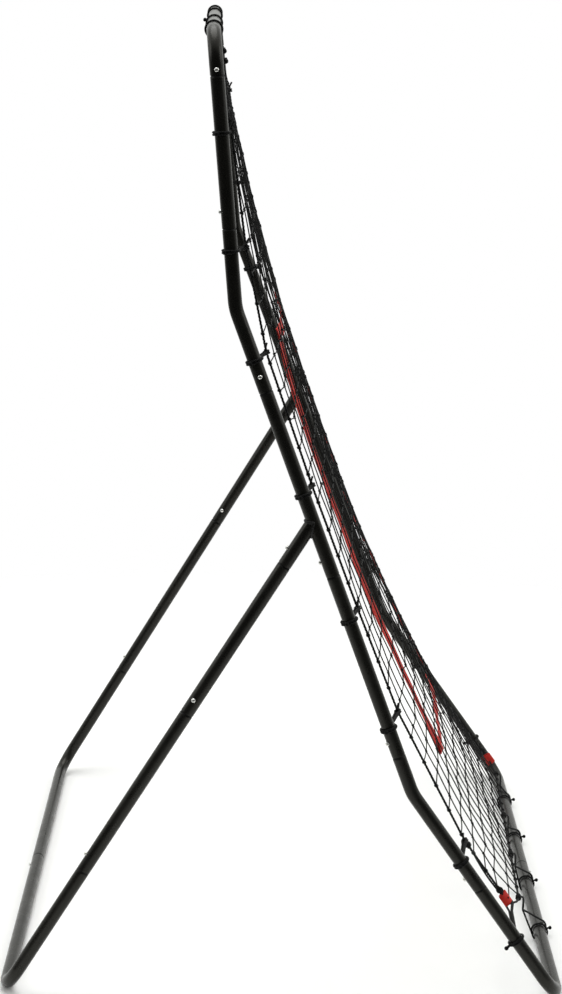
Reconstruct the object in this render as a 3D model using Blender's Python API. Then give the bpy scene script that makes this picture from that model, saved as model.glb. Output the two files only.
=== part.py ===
"""Pitch back rebounder: a push-together tube frame that holds a sprung net for returning balls.

Metres, +Z up, X across the net, the thrower's side towards -Y. The two side frames are mirror images,
except that the right one stands slightly further back with height, as a push-together frame settles, and
that the net is tied closer to its lower corner.
Each one is a run of tubes that starts at the middle of the front floor bar, climbs through two shallow
bends and ends at the middle of the top bar, with a leg that runs back down to the rear floor bar.
"""
import math

import bpy
import numpy as np
from mathutils import Matrix, Vector

# Tube section. Twelve flats, scaled so that their mean radius is that of the round tube.
TUBE_RADIUS = 0.0127
TUBE_WALL = 0.0012
TUBE_SIDES = 12
FLAT_SCALE = 1.017
GAP = 0.0003

# Frame outline, as (Y, Z) of the tube axis in a side frame. The floor bars rest on one of their flats.
SPAN = 1.276
DEPTH = 1.047
FLOOR_AXIS = TUBE_RADIUS * FLAT_SCALE * math.cos(math.pi / TUBE_SIDES)
HEIGHT_AXIS = 1.800
FRONT_CORNER = (-DEPTH / 2, FLOOR_AXIS)
REAR_CORNER = (DEPTH / 2, FLOOR_AXIS)
LOWER_BEND = (-0.236, 0.417)
UPPER_BEND = (0.1045, 1.3186)
TOP_CORNER = (0.1485, HEIGHT_AXIS)
LEG_JOINT_HEIGHT = 0.933
# How far back the right side frame stands, per metre of height.
RIGHT_LEAN = 0.015
CORNER_RADIUS = 0.055
BEND_RADIUS = 0.10
CORNER_STEPS = 6
BEND_STEPS = 2

# Push-fit joints: the upper tube is the sleeve and the lower tube's reduced end goes inside it.
# How far the sleeve and the spigot run past the joint's button: the usual joint, and the short top one.
JOINT_REACH = (0.030, 0.026)
TOP_JOINT_REACH = (0.010, 0.0085)
SHOULDER = 0.003
CROSSBAR_START = 0.060
SIDE_JOINTS = (0.257, 0.519, 0.861, 1.198, 1.490, 1.735)
LEG_LOWER_JOINT = 0.282
LEG_UPPER_JOINTS = {"left": 0.5925, "right": 0.6505}
STUB_JOINT = 0.8766
STUB_BORE_START = 0.029

# Spring buttons, along their own axis from the tube's axis.
BUTTON_RADIUS = 0.0042
BUTTON_FLANGE_RADIUS = 0.0055
BUTTON_FLANGE = (0.0062, 0.0072)
BUTTON_SHOULDER = 0.0141
BUTTON_TOP = 0.0169
BUTTON_HOLE_RADIUS = 0.0047
BUTTON_DOME = (0.70, 0.75)
BUTTON_SEGMENTS = 12
HOLE_REACH = (0.0075, 0.020)
# Which way the slanted buttons point: outboard and rearwards on the second side joint, towards the left
# and rearwards on both legs' middle joint.
SIDE_SLANT = (0.47, 0.88)
LEG_SLANT = (0.92, 0.39)

# Net, its border rope, the target webbing and the elastic ties.
ROPE_RADIUS = 0.0028
ROPE_SIDES = 6
ROPE_CORNER_RADIUS = 0.035
ROPE_CORNER_STEPS = 4
TIE_RADIUS = 0.0021
TIE_SIDES = 5
TIE_STEPS = (8, 5)
TIE_SLACK = 0.0008
KNOB_RADIUS = 0.0040
LOWEST_TIE_SLACK = 0.0055
NET_THICKNESS = 0.0024
NET_INSET = 0.015
NET_COLUMNS = 12
NET_ROWS = 20
NET_PASSES = 1500
TARGET_WIDTH = 0.025
TARGET_THICKNESS = 0.0012
TARGET_LIFT = -0.0036
TARGET_COLUMNS = (0.22, 0.71)
TARGET_ROWS = (0.295, 0.815)
TARGET_STEPS = (14, 6)
# Each tie: height on the side tube, and how far forward of and inboard from its axis the rope is held.
TIES = (
    (1.626, 0.016, 0.032),
    (1.420, 0.026, 0.034),
    (1.225, 0.022, 0.046),
    (0.982, 0.017, 0.052),
    (0.748, 0.018, 0.062),
    (0.543, 0.022, 0.078),
    (0.283, 0.016, 0.088),
)
# The lowest tie and the rope's lower corner. The right ones are drawn closer to the frame's corner.
LOWEST_TIES = {"left": (0.130, 0.004, 0.168), "right": (0.095, 0.015, 0.110)}
ROPE_FEET = {"left": (0.112, 0.013, 0.212), "right": (0.068, 0.020, 0.150)}
ROPE_TOP = (0.145, 1.752)
ROPE_TOP_INSET = 0.060

# The angle, in degrees, over which an edge is drawn sharp.
STEEL_CREASE = 35
BUTTON_CREASE = 50
CORD_CREASE = 80

BLACK_STEEL = ("powder_coated_steel", (0.016, 0.016, 0.015), 0.38, 0.0)
ZINC = ("zinc_plated_steel", (0.62, 0.62, 0.60), 0.30, 1.0)
BLACK_CORD = ("black_net_cord", (0.012, 0.012, 0.012), 0.85, 0.0)
BLACK_ELASTIC = ("black_elastic", (0.018, 0.018, 0.018), 0.70, 0.0)
RED_WEBBING = ("red_webbing", (0.62, 0.035, 0.02), 0.80, 0.0)


def clear_scene():
    for obj in list(bpy.data.objects):
        bpy.data.objects.remove(obj, do_unlink=True)


def material(look):
    name, colour, roughness, metallic = look
    found = bpy.data.materials.get(name)
    if found:
        return found
    made = bpy.data.materials.new(name)
    made.use_nodes = True
    shader = made.node_tree.nodes["Principled BSDF"]
    shader.inputs["Base Color"].default_value = (*colour, 1.0)
    shader.inputs["Roughness"].default_value = roughness
    shader.inputs["Metallic"].default_value = metallic
    return made


def add_object(name, points, faces, look, place=None, crease=STEEL_CREASE):
    """An object whose mesh is given in world space and stored about its own origin."""
    place = place or Matrix.Translation(points[0])
    back = place.inverted()
    mesh = bpy.data.meshes.new(name)
    mesh.from_pydata([back @ Vector(p) for p in points], [], faces)
    mesh.validate()
    mesh.shade_smooth()
    mesh.set_sharp_from_angle(angle=math.radians(crease))
    mesh.materials.append(material(look))
    obj = bpy.data.objects.new(name, mesh)
    obj.matrix_world = place
    bpy.context.scene.collection.objects.link(obj)
    return obj


def add_helper(name, points, faces):
    helper = add_object(name, points, faces, BLACK_STEEL)
    helper.hide_render = True
    helper.display_type = "WIRE"
    return helper


def boolean(obj, helper, operation):
    modifier = obj.modifiers.new(helper.name, "BOOLEAN")
    modifier.operation = operation
    modifier.solver = "EXACT"
    modifier.object = helper


def round_corner(before, corner, after, radius, steps):
    """The points of an arc of this radius that replaces the corner."""
    towards = (before - corner).normalized()
    onwards = (after - corner).normalized()
    turn = math.pi - towards.angle(onwards)
    start = corner + towards * radius * math.tan(turn / 2)
    centre = corner + (towards + onwards).normalized() * radius / math.cos(turn / 2)
    axis = (-towards).cross(onwards).normalized()
    arm = start - centre
    return [centre + Matrix.Rotation(turn * k / steps, 3, axis) @ arm for k in range(steps + 1)]


class Route:
    """A centreline of straight runs and arcs, carrying a section frame that never twists about it."""

    def __init__(self, corners, radii, steps, normal):
        corners = [Vector(c) for c in corners]
        self.points = [corners[0]]
        for i, (radius, count) in enumerate(zip(radii, steps), start=1):
            self.points += round_corner(corners[i - 1], corners[i], corners[i + 1], radius, count)
        self.points.append(corners[-1])
        pairs = list(zip(self.points, self.points[1:]))
        self.directions = [(b - a).normalized() for a, b in pairs]
        self.stations = [0.0]
        for a, b in pairs:
            self.stations.append(self.stations[-1] + (b - a).length)
        self.normals = [Vector(normal)]
        for a, b in zip(self.directions, self.directions[1:]):
            self.normals.append(a.rotation_difference(b) @ self.normals[-1])

    @property
    def length(self):
        return self.stations[-1]

    def frame(self, station):
        """(point, direction, normal) at this distance along the route."""
        for k, here in enumerate(self.stations[1:-1], start=1):
            if abs(station - here) < 1e-7:
                before = self.directions[k - 1]
                middle = (before + self.directions[k]).normalized()
                return self.points[k], middle, before.rotation_difference(middle) @ self.normals[k - 1]
        k = max(i for i, here in enumerate(self.stations[:-1]) if here <= station + 1e-9 or i == 0)
        direction = self.directions[k]
        return self.points[k] + direction * (station - self.stations[k]), direction, self.normals[k]

    def at_height(self, height):
        """The distance along the route at which its axis reaches this height."""
        for k, (a, b) in enumerate(zip(self.points, self.points[1:])):
            if a.z < height <= b.z:
                return self.stations[k] + (b - a).length * (height - a.z) / (b.z - a.z)
        raise ValueError("the route doesn't reach this height")

    def vertices_between(self, start, end):
        return [s for s in self.stations if start + 1e-6 < s < end - 1e-6]


def ring(route, station, radius):
    """The corners of a flat-sided tube section, with one flat square to the route's normal."""
    point, direction, normal = route.frame(station)
    side = direction.cross(normal)
    corners = []
    for k in range(TUBE_SIDES):
        angle = 2 * math.pi * (k + 0.5) / TUBE_SIDES
        arm = normal * math.cos(angle) + side * math.sin(angle)
        corners.append(point + arm * radius * FLAT_SCALE)
    return corners


def skin(rings):
    """Quads between successive rings of points."""
    count = len(rings[0])
    faces = []
    for row in range(len(rings) - 1):
        for k in range(count):
            a = row * count + k
            b = row * count + (k + 1) % count
            faces.append((a, b, b + count, a + count))
    return faces


def closed_tube(rings):
    """A closed body that runs through the rings and from the last one back to the first."""
    count = len(rings[0])
    points = [p for each in rings for p in each]
    faces = skin(rings)
    last = (len(rings) - 1) * count
    faces += [(last + k, last + (k + 1) % count, (k + 1) % count, k) for k in range(count)]
    return points, faces


def capped_tube(rings):
    count = len(rings[0])
    points = [p for each in rings for p in each]
    last = (len(rings) - 1) * count
    faces = skin(rings) + [tuple(reversed(range(count))), tuple(range(last, last + count))]
    return points, faces


def tube_stations(route, start, end, spigots, inset):
    """(station, radius) pairs of one wall surface. Spigots holds the reduced length at either end."""
    full = TUBE_RADIUS - inset
    reduced = full - TUBE_WALL - GAP
    head = [(start, full)]
    tail = [(end, full)]
    if spigots[0]:
        cone = start + spigots[0] + GAP
        head = [(start, reduced), (cone, reduced), (cone + SHOULDER, full)]
    if spigots[1]:
        cone = end - spigots[1] - GAP
        tail = [(cone - SHOULDER, full), (cone, reduced), (end, reduced)]
    middle = route.vertices_between(head[-1][0], tail[0][0])
    return head + [(station, full) for station in middle] + tail


def wall_rings(route, start, end, spigots, inset):
    return [ring(route, s, r) for s, r in tube_stations(route, start, end, spigots, inset)]


def hollow_tube(name, route, start, end, spigots):
    outer = wall_rings(route, start, end, spigots, 0.0)
    inner = wall_rings(route, start, end, spigots, TUBE_WALL)
    return add_object(name, *closed_tube(outer + inner[::-1]), BLACK_STEEL)


def lathe(profile, segments):
    """A turned solid about Z from a (radius, height) profile that starts and ends on the axis."""
    points = [Vector((0, 0, profile[0][1]))]
    for radius, height in profile[1:-1]:
        for k in range(segments):
            angle = 2 * math.pi * k / segments
            points.append(Vector((radius * math.cos(angle), radius * math.sin(angle), height)))
    points.append(Vector((0, 0, profile[-1][1])))
    rows = len(profile) - 2
    faces = [(0, 1 + (k + 1) % segments, 1 + k) for k in range(segments)]
    for row in range(rows - 1):
        for k in range(segments):
            a = 1 + row * segments + k
            b = 1 + row * segments + (k + 1) % segments
            faces.append((a, b, b + segments, a + segments))
    top = len(points) - 1
    last = 1 + (rows - 1) * segments
    faces += [(last + k, last + (k + 1) % segments, top) for k in range(segments)]
    return points, faces


def button_mesh():
    low, high = BUTTON_FLANGE
    waist, rise = BUTTON_DOME
    profile = [
        (0.0, low),
        (BUTTON_FLANGE_RADIUS, low),
        (BUTTON_FLANGE_RADIUS, high),
        (BUTTON_RADIUS, high),
        (BUTTON_RADIUS, BUTTON_SHOULDER),
        (waist * BUTTON_RADIUS, BUTTON_SHOULDER + rise * (BUTTON_TOP - BUTTON_SHOULDER)),
        (0.0, BUTTON_TOP),
    ]
    points, faces = lathe(profile, BUTTON_SEGMENTS)
    mesh = bpy.data.meshes.new("button")
    mesh.from_pydata(points, [], faces)
    mesh.shade_smooth()
    mesh.set_sharp_from_angle(angle=math.radians(BUTTON_CREASE))
    mesh.materials.append(material(ZINC))
    return mesh


def outward_frame(point, outward):
    """A placement at the point with local +Z along the outward direction."""
    return Matrix.Translation(point) @ outward.to_track_quat("Z", "X").to_matrix().to_4x4()


def add_button(name, mesh, route, station, outward, tubes):
    """One spring button, and its hole through the sleeve and the spigot inside it."""
    point, direction, _ = route.frame(station)
    outward = (outward - direction * outward.dot(direction)).normalized()
    place = outward_frame(point, outward)
    button = bpy.data.objects.new(name, mesh)
    button.matrix_world = place
    bpy.context.scene.collection.objects.link(button)
    low, high = HOLE_REACH
    hole = [(0.0, low), (BUTTON_HOLE_RADIUS, low), (BUTTON_HOLE_RADIUS, high), (0.0, high)]
    points, faces = lathe(hole, BUTTON_SEGMENTS)
    cutter = add_helper("cut_" + name, [place @ p for p in points], faces)
    for tube in tubes:
        boolean(tube, cutter, "DIFFERENCE")


def side_point(sign, outline_point):
    """A point of a side frame's outline. The right frame leans back."""
    y, z = outline_point
    lean = RIGHT_LEAN * (z - FLOOR_AXIS) if sign > 0 else 0.0
    return Vector((sign * SPAN / 2, y + lean, z))


def bar_end(sign, corner):
    """Where this side's half of a crossbar's line ends, past the middle."""
    here = side_point(sign, corner)
    there = side_point(-sign, corner)
    return (here + there) / 2 + (there - here).normalized() * CROSSBAR_START


def main_route(sign):
    corners = [
        bar_end(sign, FRONT_CORNER),
        side_point(sign, FRONT_CORNER),
        side_point(sign, LOWER_BEND),
        side_point(sign, UPPER_BEND),
        side_point(sign, TOP_CORNER),
        bar_end(sign, TOP_CORNER),
    ]
    radii = (CORNER_RADIUS, BEND_RADIUS, BEND_RADIUS, CORNER_RADIUS)
    steps = (CORNER_STEPS, BEND_STEPS, BEND_STEPS, CORNER_STEPS)
    return Route(corners, radii, steps, (0, 0, -1))


def leg_joint(sign):
    """Where the leg's axis meets the straight run between the two bends."""
    low, high = LOWER_BEND, UPPER_BEND
    share = (LEG_JOINT_HEIGHT - low[1]) / (high[1] - low[1])
    return side_point(sign, (low[0] + share * (high[0] - low[0]), LEG_JOINT_HEIGHT))


def leg_route(sign):
    corners = [bar_end(sign, REAR_CORNER), side_point(sign, REAR_CORNER), leg_joint(sign)]
    return Route(corners, (CORNER_RADIUS,), (CORNER_STEPS,), (0, 0, -1))


def joints_along(route, heights, first, last, side):
    """(station, sleeve end, spigot end, overlap) of each joint from the first crossbar to the last end."""
    joints = [crossbar_joint(first, side)]
    for height in heights:
        reach = TOP_JOINT_REACH if height == SIDE_JOINTS[-1] else JOINT_REACH
        button = route.at_height(height)
        joints.append((button, button - reach[0], button + reach[1], sum(reach)))
    if last is not None:
        joints.append(crossbar_joint(last, side))
    return joints


def crossbar_joint(middle, side):
    """The joint of two crossbar halves: the left half is the sleeve and the right half is the spigot."""
    return middle, side, None, sum(JOINT_REACH)


def tube_spans(joints, route):
    """(start, end, spigots) of each tube between successive joints."""
    spans = []
    for below, above in zip(joints, joints[1:]):
        start, first = crossbar_span(below, -1) if below[2] is None else (below[1], 0.0)
        end, last = crossbar_span(above, 1) if above[2] is None else (above[2], above[3])
        spans.append((start, end, (first, last)))
    return spans


def crossbar_span(joint, onwards):
    """How far a crossbar half runs past its middle, and the length of its spigot."""
    middle, side, _, overlap = joint
    if side == "left":
        return middle + onwards * JOINT_REACH[0], 0.0
    return middle + onwards * JOINT_REACH[1], overlap


def build_main_run(side, sign, mesh):
    """The seven tubes from the front bar to the top bar, with their six buttons."""
    route = main_route(sign)
    first = CROSSBAR_START
    joints = joints_along(route, SIDE_JOINTS, first, route.length - first, side)
    names = ("bottom_bar", "lower_bend", "lower_tube", "middle_tube", "upper_bend", "upper_tube", "top_bar")
    tubes = {}
    for name, span in zip(names, tube_spans(joints, route)):
        build = build_middle_tube if name == "middle_tube" else hollow_tube
        tubes[name] = build(f"{name}_{side}", route, *span)
    rear = Vector((0, 1, 0))
    outboard = Vector((sign, 0, 0))
    slant = outboard * SIDE_SLANT[0] + rear * SIDE_SLANT[1]
    aims = (rear, slant, rear, outboard, rear, outboard)
    for k, aim in enumerate(aims):
        pair = (tubes[names[k]], tubes[names[k + 1]])
        add_button(f"button_side_{k + 1}_{side}", mesh, route, joints[k + 1][0], aim, pair)
    return route, tubes


def build_middle_tube(name, route, start, end, spigots):
    """The tube between the bends, with the leg's welded stub."""
    leg = leg_route(math.copysign(1, route.frame(start)[0].x))
    stub_end = leg.at_height(STUB_JOINT) - JOINT_REACH[0]
    tube = add_object(name, *capped_tube(wall_rings(route, start, end, spigots, 0.0)), BLACK_STEEL)
    stub_run = [ring(leg, station, TUBE_RADIUS) for station in (stub_end, leg.length)]
    bore_stations = tube_stations(route, start, end, spigots, TUBE_WALL)
    bore_stations[0] = (start - TUBE_WALL, bore_stations[0][1])
    bore_stations[-1] = (end + TUBE_WALL, bore_stations[-1][1])
    bore_run = [ring(route, station, radius) for station, radius in bore_stations]
    stub_bore_ends = (stub_end - TUBE_WALL, leg.length - STUB_BORE_START)
    stub_bore_run = [ring(leg, station, TUBE_RADIUS - TUBE_WALL) for station in stub_bore_ends]
    boolean(tube, add_helper("stub_of_" + name, *capped_tube(stub_run)), "UNION")
    boolean(tube, add_helper("bore_of_" + name, *capped_tube(bore_run)), "DIFFERENCE")
    boolean(tube, add_helper("stub_bore_of_" + name, *capped_tube(stub_bore_run)), "DIFFERENCE")
    return tube


def build_leg(side, sign, mesh, middle_tube):
    """The rear bar half and the two leg tubes, with their three buttons."""
    route = leg_route(sign)
    heights = (LEG_LOWER_JOINT, LEG_UPPER_JOINTS[side], STUB_JOINT)
    joints = joints_along(route, heights, CROSSBAR_START, None, side)
    names = ("base_bar", "leg_lower", "leg_upper")
    spans = tube_spans(joints, route)
    tubes = [hollow_tube(f"{name}_{side}", route, *span) for name, span in zip(names, spans)]
    tubes.append(middle_tube)
    rear = Vector((0, 1, 0))
    slant = Vector((-LEG_SLANT[0], LEG_SLANT[1], 0))
    aims = (rear, slant, rear)
    for k, aim in enumerate(aims):
        pair = (tubes[k], tubes[k + 1])
        add_button(f"button_leg_{k + 1}_{side}", mesh, route, joints[k + 1][0], aim, pair)
    return route, tubes


def build_bar_buttons(mesh, routes, runs):
    """The three buttons where the left and right halves of a crossbar meet."""
    rear = Vector((0, 1, 0))
    middle = CROSSBAR_START
    main = routes["left"][0]
    rear_leg = routes["left"][1]
    places = (
        ("button_bottom_bar", main, middle, -rear, [runs[s][0]["bottom_bar"] for s in runs]),
        ("button_top_bar", main, main.length - middle, rear, [runs[s][0]["top_bar"] for s in runs]),
        ("button_base_bar", rear_leg, middle, rear, [runs[s][1][0] for s in runs]),
    )
    for name, route, station, aim, tubes in places:
        add_button(name, mesh, route, station, aim, tubes)


def tie_frame(route, sign, height):
    """(axis point, tube direction, forward, inboard) at this height on a side tube."""
    point, direction, _ = route.frame(route.at_height(height))
    inboard = Vector((-sign, 0, 0))
    forward = direction.cross(inboard).normalized()
    if forward.y > 0:
        forward.negate()
    return point, direction, forward, inboard


def held_rope_points(route, sign):
    """The rope's centre at each tie, from the top one down, and at its lower corner."""
    side = "left" if sign < 0 else "right"
    points = []
    for height, ahead, inset in (*TIES, LOWEST_TIES[side], ROPE_FEET[side]):
        point, _, forward, inboard = tie_frame(route, sign, height)
        points.append(point + forward * ahead + inboard * inset)
    return points


def rope_top_corner(sign):
    return side_point(sign, ROPE_TOP) - Vector((sign * ROPE_TOP_INSET, 0, 0))


def rope_outline(routes):
    """The closed border of the net, with rounded corners."""
    left = held_rope_points(routes["left"][0], -1)
    right = held_rope_points(routes["right"][0], 1)
    loop = [rope_top_corner(-1), *left, *right[::-1], rope_top_corner(1)]
    corners = {0, len(left), len(left) + 1, len(loop) - 1}
    points = []
    for k, here in enumerate(loop):
        before = loop[k - 1]
        after = loop[(k + 1) % len(loop)]
        if k in corners:
            points += round_corner(before, here, after, ROPE_CORNER_RADIUS, ROPE_CORNER_STEPS)
        else:
            points.append(here)
    return points


def sweep_loop(points, radii, sides):
    """A closed body of round section swept along a closed line of points."""
    count = len(points)
    directions = [(points[(k + 1) % count] - points[k - 1]).normalized() for k in range(count)]
    normal = directions[0].orthogonal().normalized()
    normals = [normal]
    for a, b in zip(directions, directions[1:]):
        normals.append(a.rotation_difference(b) @ normals[-1])
    closing = directions[-1].rotation_difference(directions[0]) @ normals[-1]
    drift = math.atan2(closing.cross(normals[0]).dot(directions[0]), closing.dot(normals[0]))
    rings = []
    for k, (point, direction, arm, radius) in enumerate(zip(points, directions, normals, radii)):
        arm = Matrix.Rotation(drift * k / count, 3, direction) @ arm
        side = direction.cross(arm)
        turns = [2 * math.pi * i / sides for i in range(sides)]
        rings.append([point + (arm * math.cos(a) + side * math.sin(a)) * radius for a in turns])
    return closed_tube(rings)


def add_rope(routes):
    points = rope_outline(routes)
    body = sweep_loop(points, [ROPE_RADIUS] * len(points), ROPE_SIDES)
    add_object("net_border_rope", *body, BLACK_CORD, crease=CORD_CREASE)


def belt(near_radius, far_centre, far_radius, near_steps, far_steps):
    """A loop pulled round two circles, the first at (0, 0), as (u, v, is_knob) points."""
    reach = math.hypot(*far_centre)
    heading = math.atan2(far_centre[1], far_centre[0])
    spread = math.acos((near_radius - far_radius) / reach)
    points = []
    for k in range(near_steps + 1):
        angle = heading + spread + (2 * math.pi - 2 * spread) * k / near_steps
        knob = k == near_steps // 2
        radius = near_radius + (KNOB_RADIUS - TIE_RADIUS if knob else 0.0)
        points.append((radius * math.cos(angle), radius * math.sin(angle), knob))
    for k in range(far_steps + 1):
        angle = heading - spread + 2 * spread * k / far_steps
        u = far_centre[0] + far_radius * math.cos(angle)
        v = far_centre[1] + far_radius * math.sin(angle)
        points.append((u, v, False))
    return points


def add_tie(name, route, sign, tie, slack):
    height, ahead, inset = tie
    point, _, forward, inboard = tie_frame(route, sign, height)
    around_tube = TUBE_RADIUS * FLAT_SCALE + TIE_SLACK + TIE_RADIUS
    around_rope = ROPE_RADIUS + slack + TIE_RADIUS
    flat = belt(around_tube, (ahead, inset), around_rope, *TIE_STEPS)
    points = [point + forward * u + inboard * v for u, v, _ in flat]
    radii = [KNOB_RADIUS if knob else TIE_RADIUS for _, _, knob in flat]
    add_object(name, *sweep_loop(points, radii, TIE_SIDES), BLACK_ELASTIC, crease=CORD_CREASE)


def add_ties(side, sign, route):
    for k, tie in enumerate(TIES, start=1):
        add_tie(f"net_tie_{k}_{side}", route, sign, tie, TIE_SLACK)
    add_tie(f"net_tie_{len(TIES) + 1}_{side}", route, sign, LOWEST_TIES[side], LOWEST_TIE_SLACK)


def along(points, share):
    """The point at this share of a line's length."""
    steps = [(b - a).length for a, b in zip(points, points[1:])]
    left = share * sum(steps)
    for a, b, step in zip(points, points[1:], steps):
        if left <= step:
            return a.lerp(b, left / step)
        left -= step
    return points[-1].copy()


def net_edge(route, sign):
    """The net's side edge from top to bottom, just inside its rope."""
    edge = [rope_top_corner(sign), *held_rope_points(route, sign)]
    edge[0] = edge[0] + (edge[1] - edge[0]).normalized() * NET_INSET
    edge[-1] = edge[-1] + (edge[-2] - edge[-1]).normalized() * NET_INSET
    return [point - Vector((sign * NET_INSET, 0, 0)) for point in edge]


def net_grid(routes):
    """Net points by row and column, pulled smooth like a sheet in even tension inside its border."""
    left = net_edge(routes["left"][0], -1)
    right = net_edge(routes["right"][0], 1)
    grid = np.zeros((NET_ROWS + 1, NET_COLUMNS + 1, 3))
    for row in range(NET_ROWS + 1):
        start = along(left, row / NET_ROWS)
        end = along(right, row / NET_ROWS)
        for column in range(NET_COLUMNS + 1):
            grid[row, column] = start.lerp(end, column / NET_COLUMNS)
    for _ in range(NET_PASSES):
        inner = grid[:-2, 1:-1] + grid[2:, 1:-1] + grid[1:-1, :-2] + grid[1:-1, 2:]
        grid[1:-1, 1:-1] = inner / 4
    return grid


def grid_normals(grid):
    down = np.gradient(grid, axis=0)
    across = np.gradient(grid, axis=1)
    normal = np.cross(down, across)
    normal /= np.linalg.norm(normal, axis=2, keepdims=True)
    return normal if normal[0, 0, 1] < 0 else -normal


def add_net(grid):
    """The net as one thin closed sheet."""
    normal = grid_normals(grid)
    rows, columns = grid.shape[:2]
    front = grid + normal * NET_THICKNESS / 2
    back = grid - normal * NET_THICKNESS / 2
    points = [Vector(p) for p in np.concatenate([front.reshape(-1, 3), back.reshape(-1, 3)])]
    half = rows * columns
    faces = []
    for r in range(rows - 1):
        for c in range(columns - 1):
            a = r * columns + c
            quad = (a, a + columns, a + columns + 1, a + 1)
            faces.append(quad)
            faces.append(tuple(half + i for i in reversed(quad)))
    border = [c for c in range(columns)]
    border += [r * columns + columns - 1 for r in range(1, rows)]
    border += [(rows - 1) * columns + c for c in range(columns - 2, -1, -1)]
    border += [r * columns for r in range(rows - 2, 0, -1)]
    for a, b in zip(border, border[1:] + border[:1]):
        faces.append((a, b, b + half, a + half))
    add_object("net_panel", points, faces, BLACK_CORD)


def on_grid(grid, row_share, column_share):
    """A point of the net, between its grid points."""
    rows, columns = grid.shape[:2]
    r = row_share * (rows - 1)
    c = column_share * (columns - 1)
    r0 = min(int(r), rows - 2)
    c0 = min(int(c), columns - 2)
    fr, fc = r - r0, c - c0
    top = grid[r0, c0] * (1 - fc) + grid[r0, c0 + 1] * fc
    low = grid[r0 + 1, c0] * (1 - fc) + grid[r0 + 1, c0 + 1] * fc
    return top * (1 - fr) + low * fr


def frame_corners(grid):
    """Shares of the net's height and width taken by the webbing's own width."""
    height = np.linalg.norm(np.diff(grid[:, NET_COLUMNS // 2], axis=0), axis=1).sum()
    width = np.linalg.norm(np.diff(grid[NET_ROWS // 2], axis=0), axis=1).sum()
    return TARGET_WIDTH / height, TARGET_WIDTH / width


def rectangle_shares(rows, columns, long_steps, short_steps):
    """Points round a rectangle of (row, column) shares."""
    shares = []
    for k in range(long_steps):
        shares.append((rows[0] + (rows[1] - rows[0]) * k / long_steps, columns[0]))
    for k in range(short_steps):
        shares.append((rows[1], columns[0] + (columns[1] - columns[0]) * k / short_steps))
    for k in range(long_steps):
        shares.append((rows[1] - (rows[1] - rows[0]) * k / long_steps, columns[1]))
    for k in range(short_steps):
        shares.append((rows[0], columns[1] - (columns[1] - columns[0]) * k / short_steps))
    return shares


def add_target(grid):
    """The red webbing rectangle that is sewn to the back of the net."""
    normal = grid_normals(grid)
    row_width, column_width = frame_corners(grid)
    outer = rectangle_shares(TARGET_ROWS, TARGET_COLUMNS, *TARGET_STEPS)
    inner_rows = (TARGET_ROWS[0] + row_width, TARGET_ROWS[1] - row_width)
    inner_columns = (TARGET_COLUMNS[0] + column_width, TARGET_COLUMNS[1] - column_width)
    inner = rectangle_shares(inner_rows, inner_columns, *TARGET_STEPS)
    rings = []
    for out_share, in_share in zip(outer, inner):
        corners = []
        for share, lift in (
            (out_share, TARGET_LIFT),
            (in_share, TARGET_LIFT),
            (in_share, TARGET_LIFT + TARGET_THICKNESS),
            (out_share, TARGET_LIFT + TARGET_THICKNESS),
        ):
            point = on_grid(grid, *share) + on_grid(normal, *share) * lift
            corners.append(Vector(point))
        rings.append(corners)
    add_object("target_webbing", *closed_tube(rings), RED_WEBBING)


def fix_facing():
    """Turns any closed mesh whose faces point inwards."""
    for mesh in bpy.data.meshes:
        volume = 0.0
        for face in mesh.polygons:
            first = mesh.vertices[face.vertices[0]].co
            for a, b in zip(face.vertices[1:-1], face.vertices[2:]):
                volume += first.dot(mesh.vertices[a].co.cross(mesh.vertices[b].co))
        if volume < 0:
            mesh.flip_normals()


def main():
    clear_scene()
    mesh = button_mesh()
    routes = {}
    runs = {}
    for side, sign in (("left", -1), ("right", 1)):
        route, tubes = build_main_run(side, sign, mesh)
        leg, leg_tubes = build_leg(side, sign, mesh, tubes["middle_tube"])
        routes[side] = (route, leg)
        runs[side] = (tubes, leg_tubes)
        add_ties(side, sign, route)
    build_bar_buttons(mesh, routes, runs)
    add_rope(routes)
    grid = net_grid(routes)
    add_net(grid)
    add_target(grid)
    fix_facing()


main()
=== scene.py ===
"""Looks of the pitch back rebounder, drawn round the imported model.

Metres, +Z up. The crossbars run along X, and the thrower stands at -Y.
"""
import math
import random

import bpy
import numpy as np
from mathutils import Matrix, Vector, noise


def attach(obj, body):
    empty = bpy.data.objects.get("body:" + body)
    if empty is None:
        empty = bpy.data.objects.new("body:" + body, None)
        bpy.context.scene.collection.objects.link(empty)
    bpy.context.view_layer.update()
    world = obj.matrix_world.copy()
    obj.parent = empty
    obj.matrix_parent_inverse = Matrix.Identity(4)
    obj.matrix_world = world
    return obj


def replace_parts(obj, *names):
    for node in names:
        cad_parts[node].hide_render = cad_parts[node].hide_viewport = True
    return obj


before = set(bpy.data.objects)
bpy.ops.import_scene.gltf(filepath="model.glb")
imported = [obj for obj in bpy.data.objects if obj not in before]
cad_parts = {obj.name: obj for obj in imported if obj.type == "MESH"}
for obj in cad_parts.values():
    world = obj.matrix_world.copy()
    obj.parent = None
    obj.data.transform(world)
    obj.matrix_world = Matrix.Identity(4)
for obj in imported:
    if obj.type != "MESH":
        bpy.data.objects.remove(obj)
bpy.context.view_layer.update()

# The tube frame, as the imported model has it. Outline points are (Y, Z) of the tube's axis.
SPAN = 1.276
DEPTH = 1.047
TUBE_RADIUS = 0.0127
TUBE_WALL = 0.0012
GAP = 0.0003
FLOOR_AXIS = 0.012476
HEIGHT_AXIS = 1.800
FRONT_CORNER = (-DEPTH / 2, FLOOR_AXIS)
REAR_CORNER = (DEPTH / 2, FLOOR_AXIS)
LOWER_BEND = (-0.236, 0.417)
UPPER_BEND = (0.1045, 1.3186)
TOP_CORNER = (0.1485, HEIGHT_AXIS)
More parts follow.
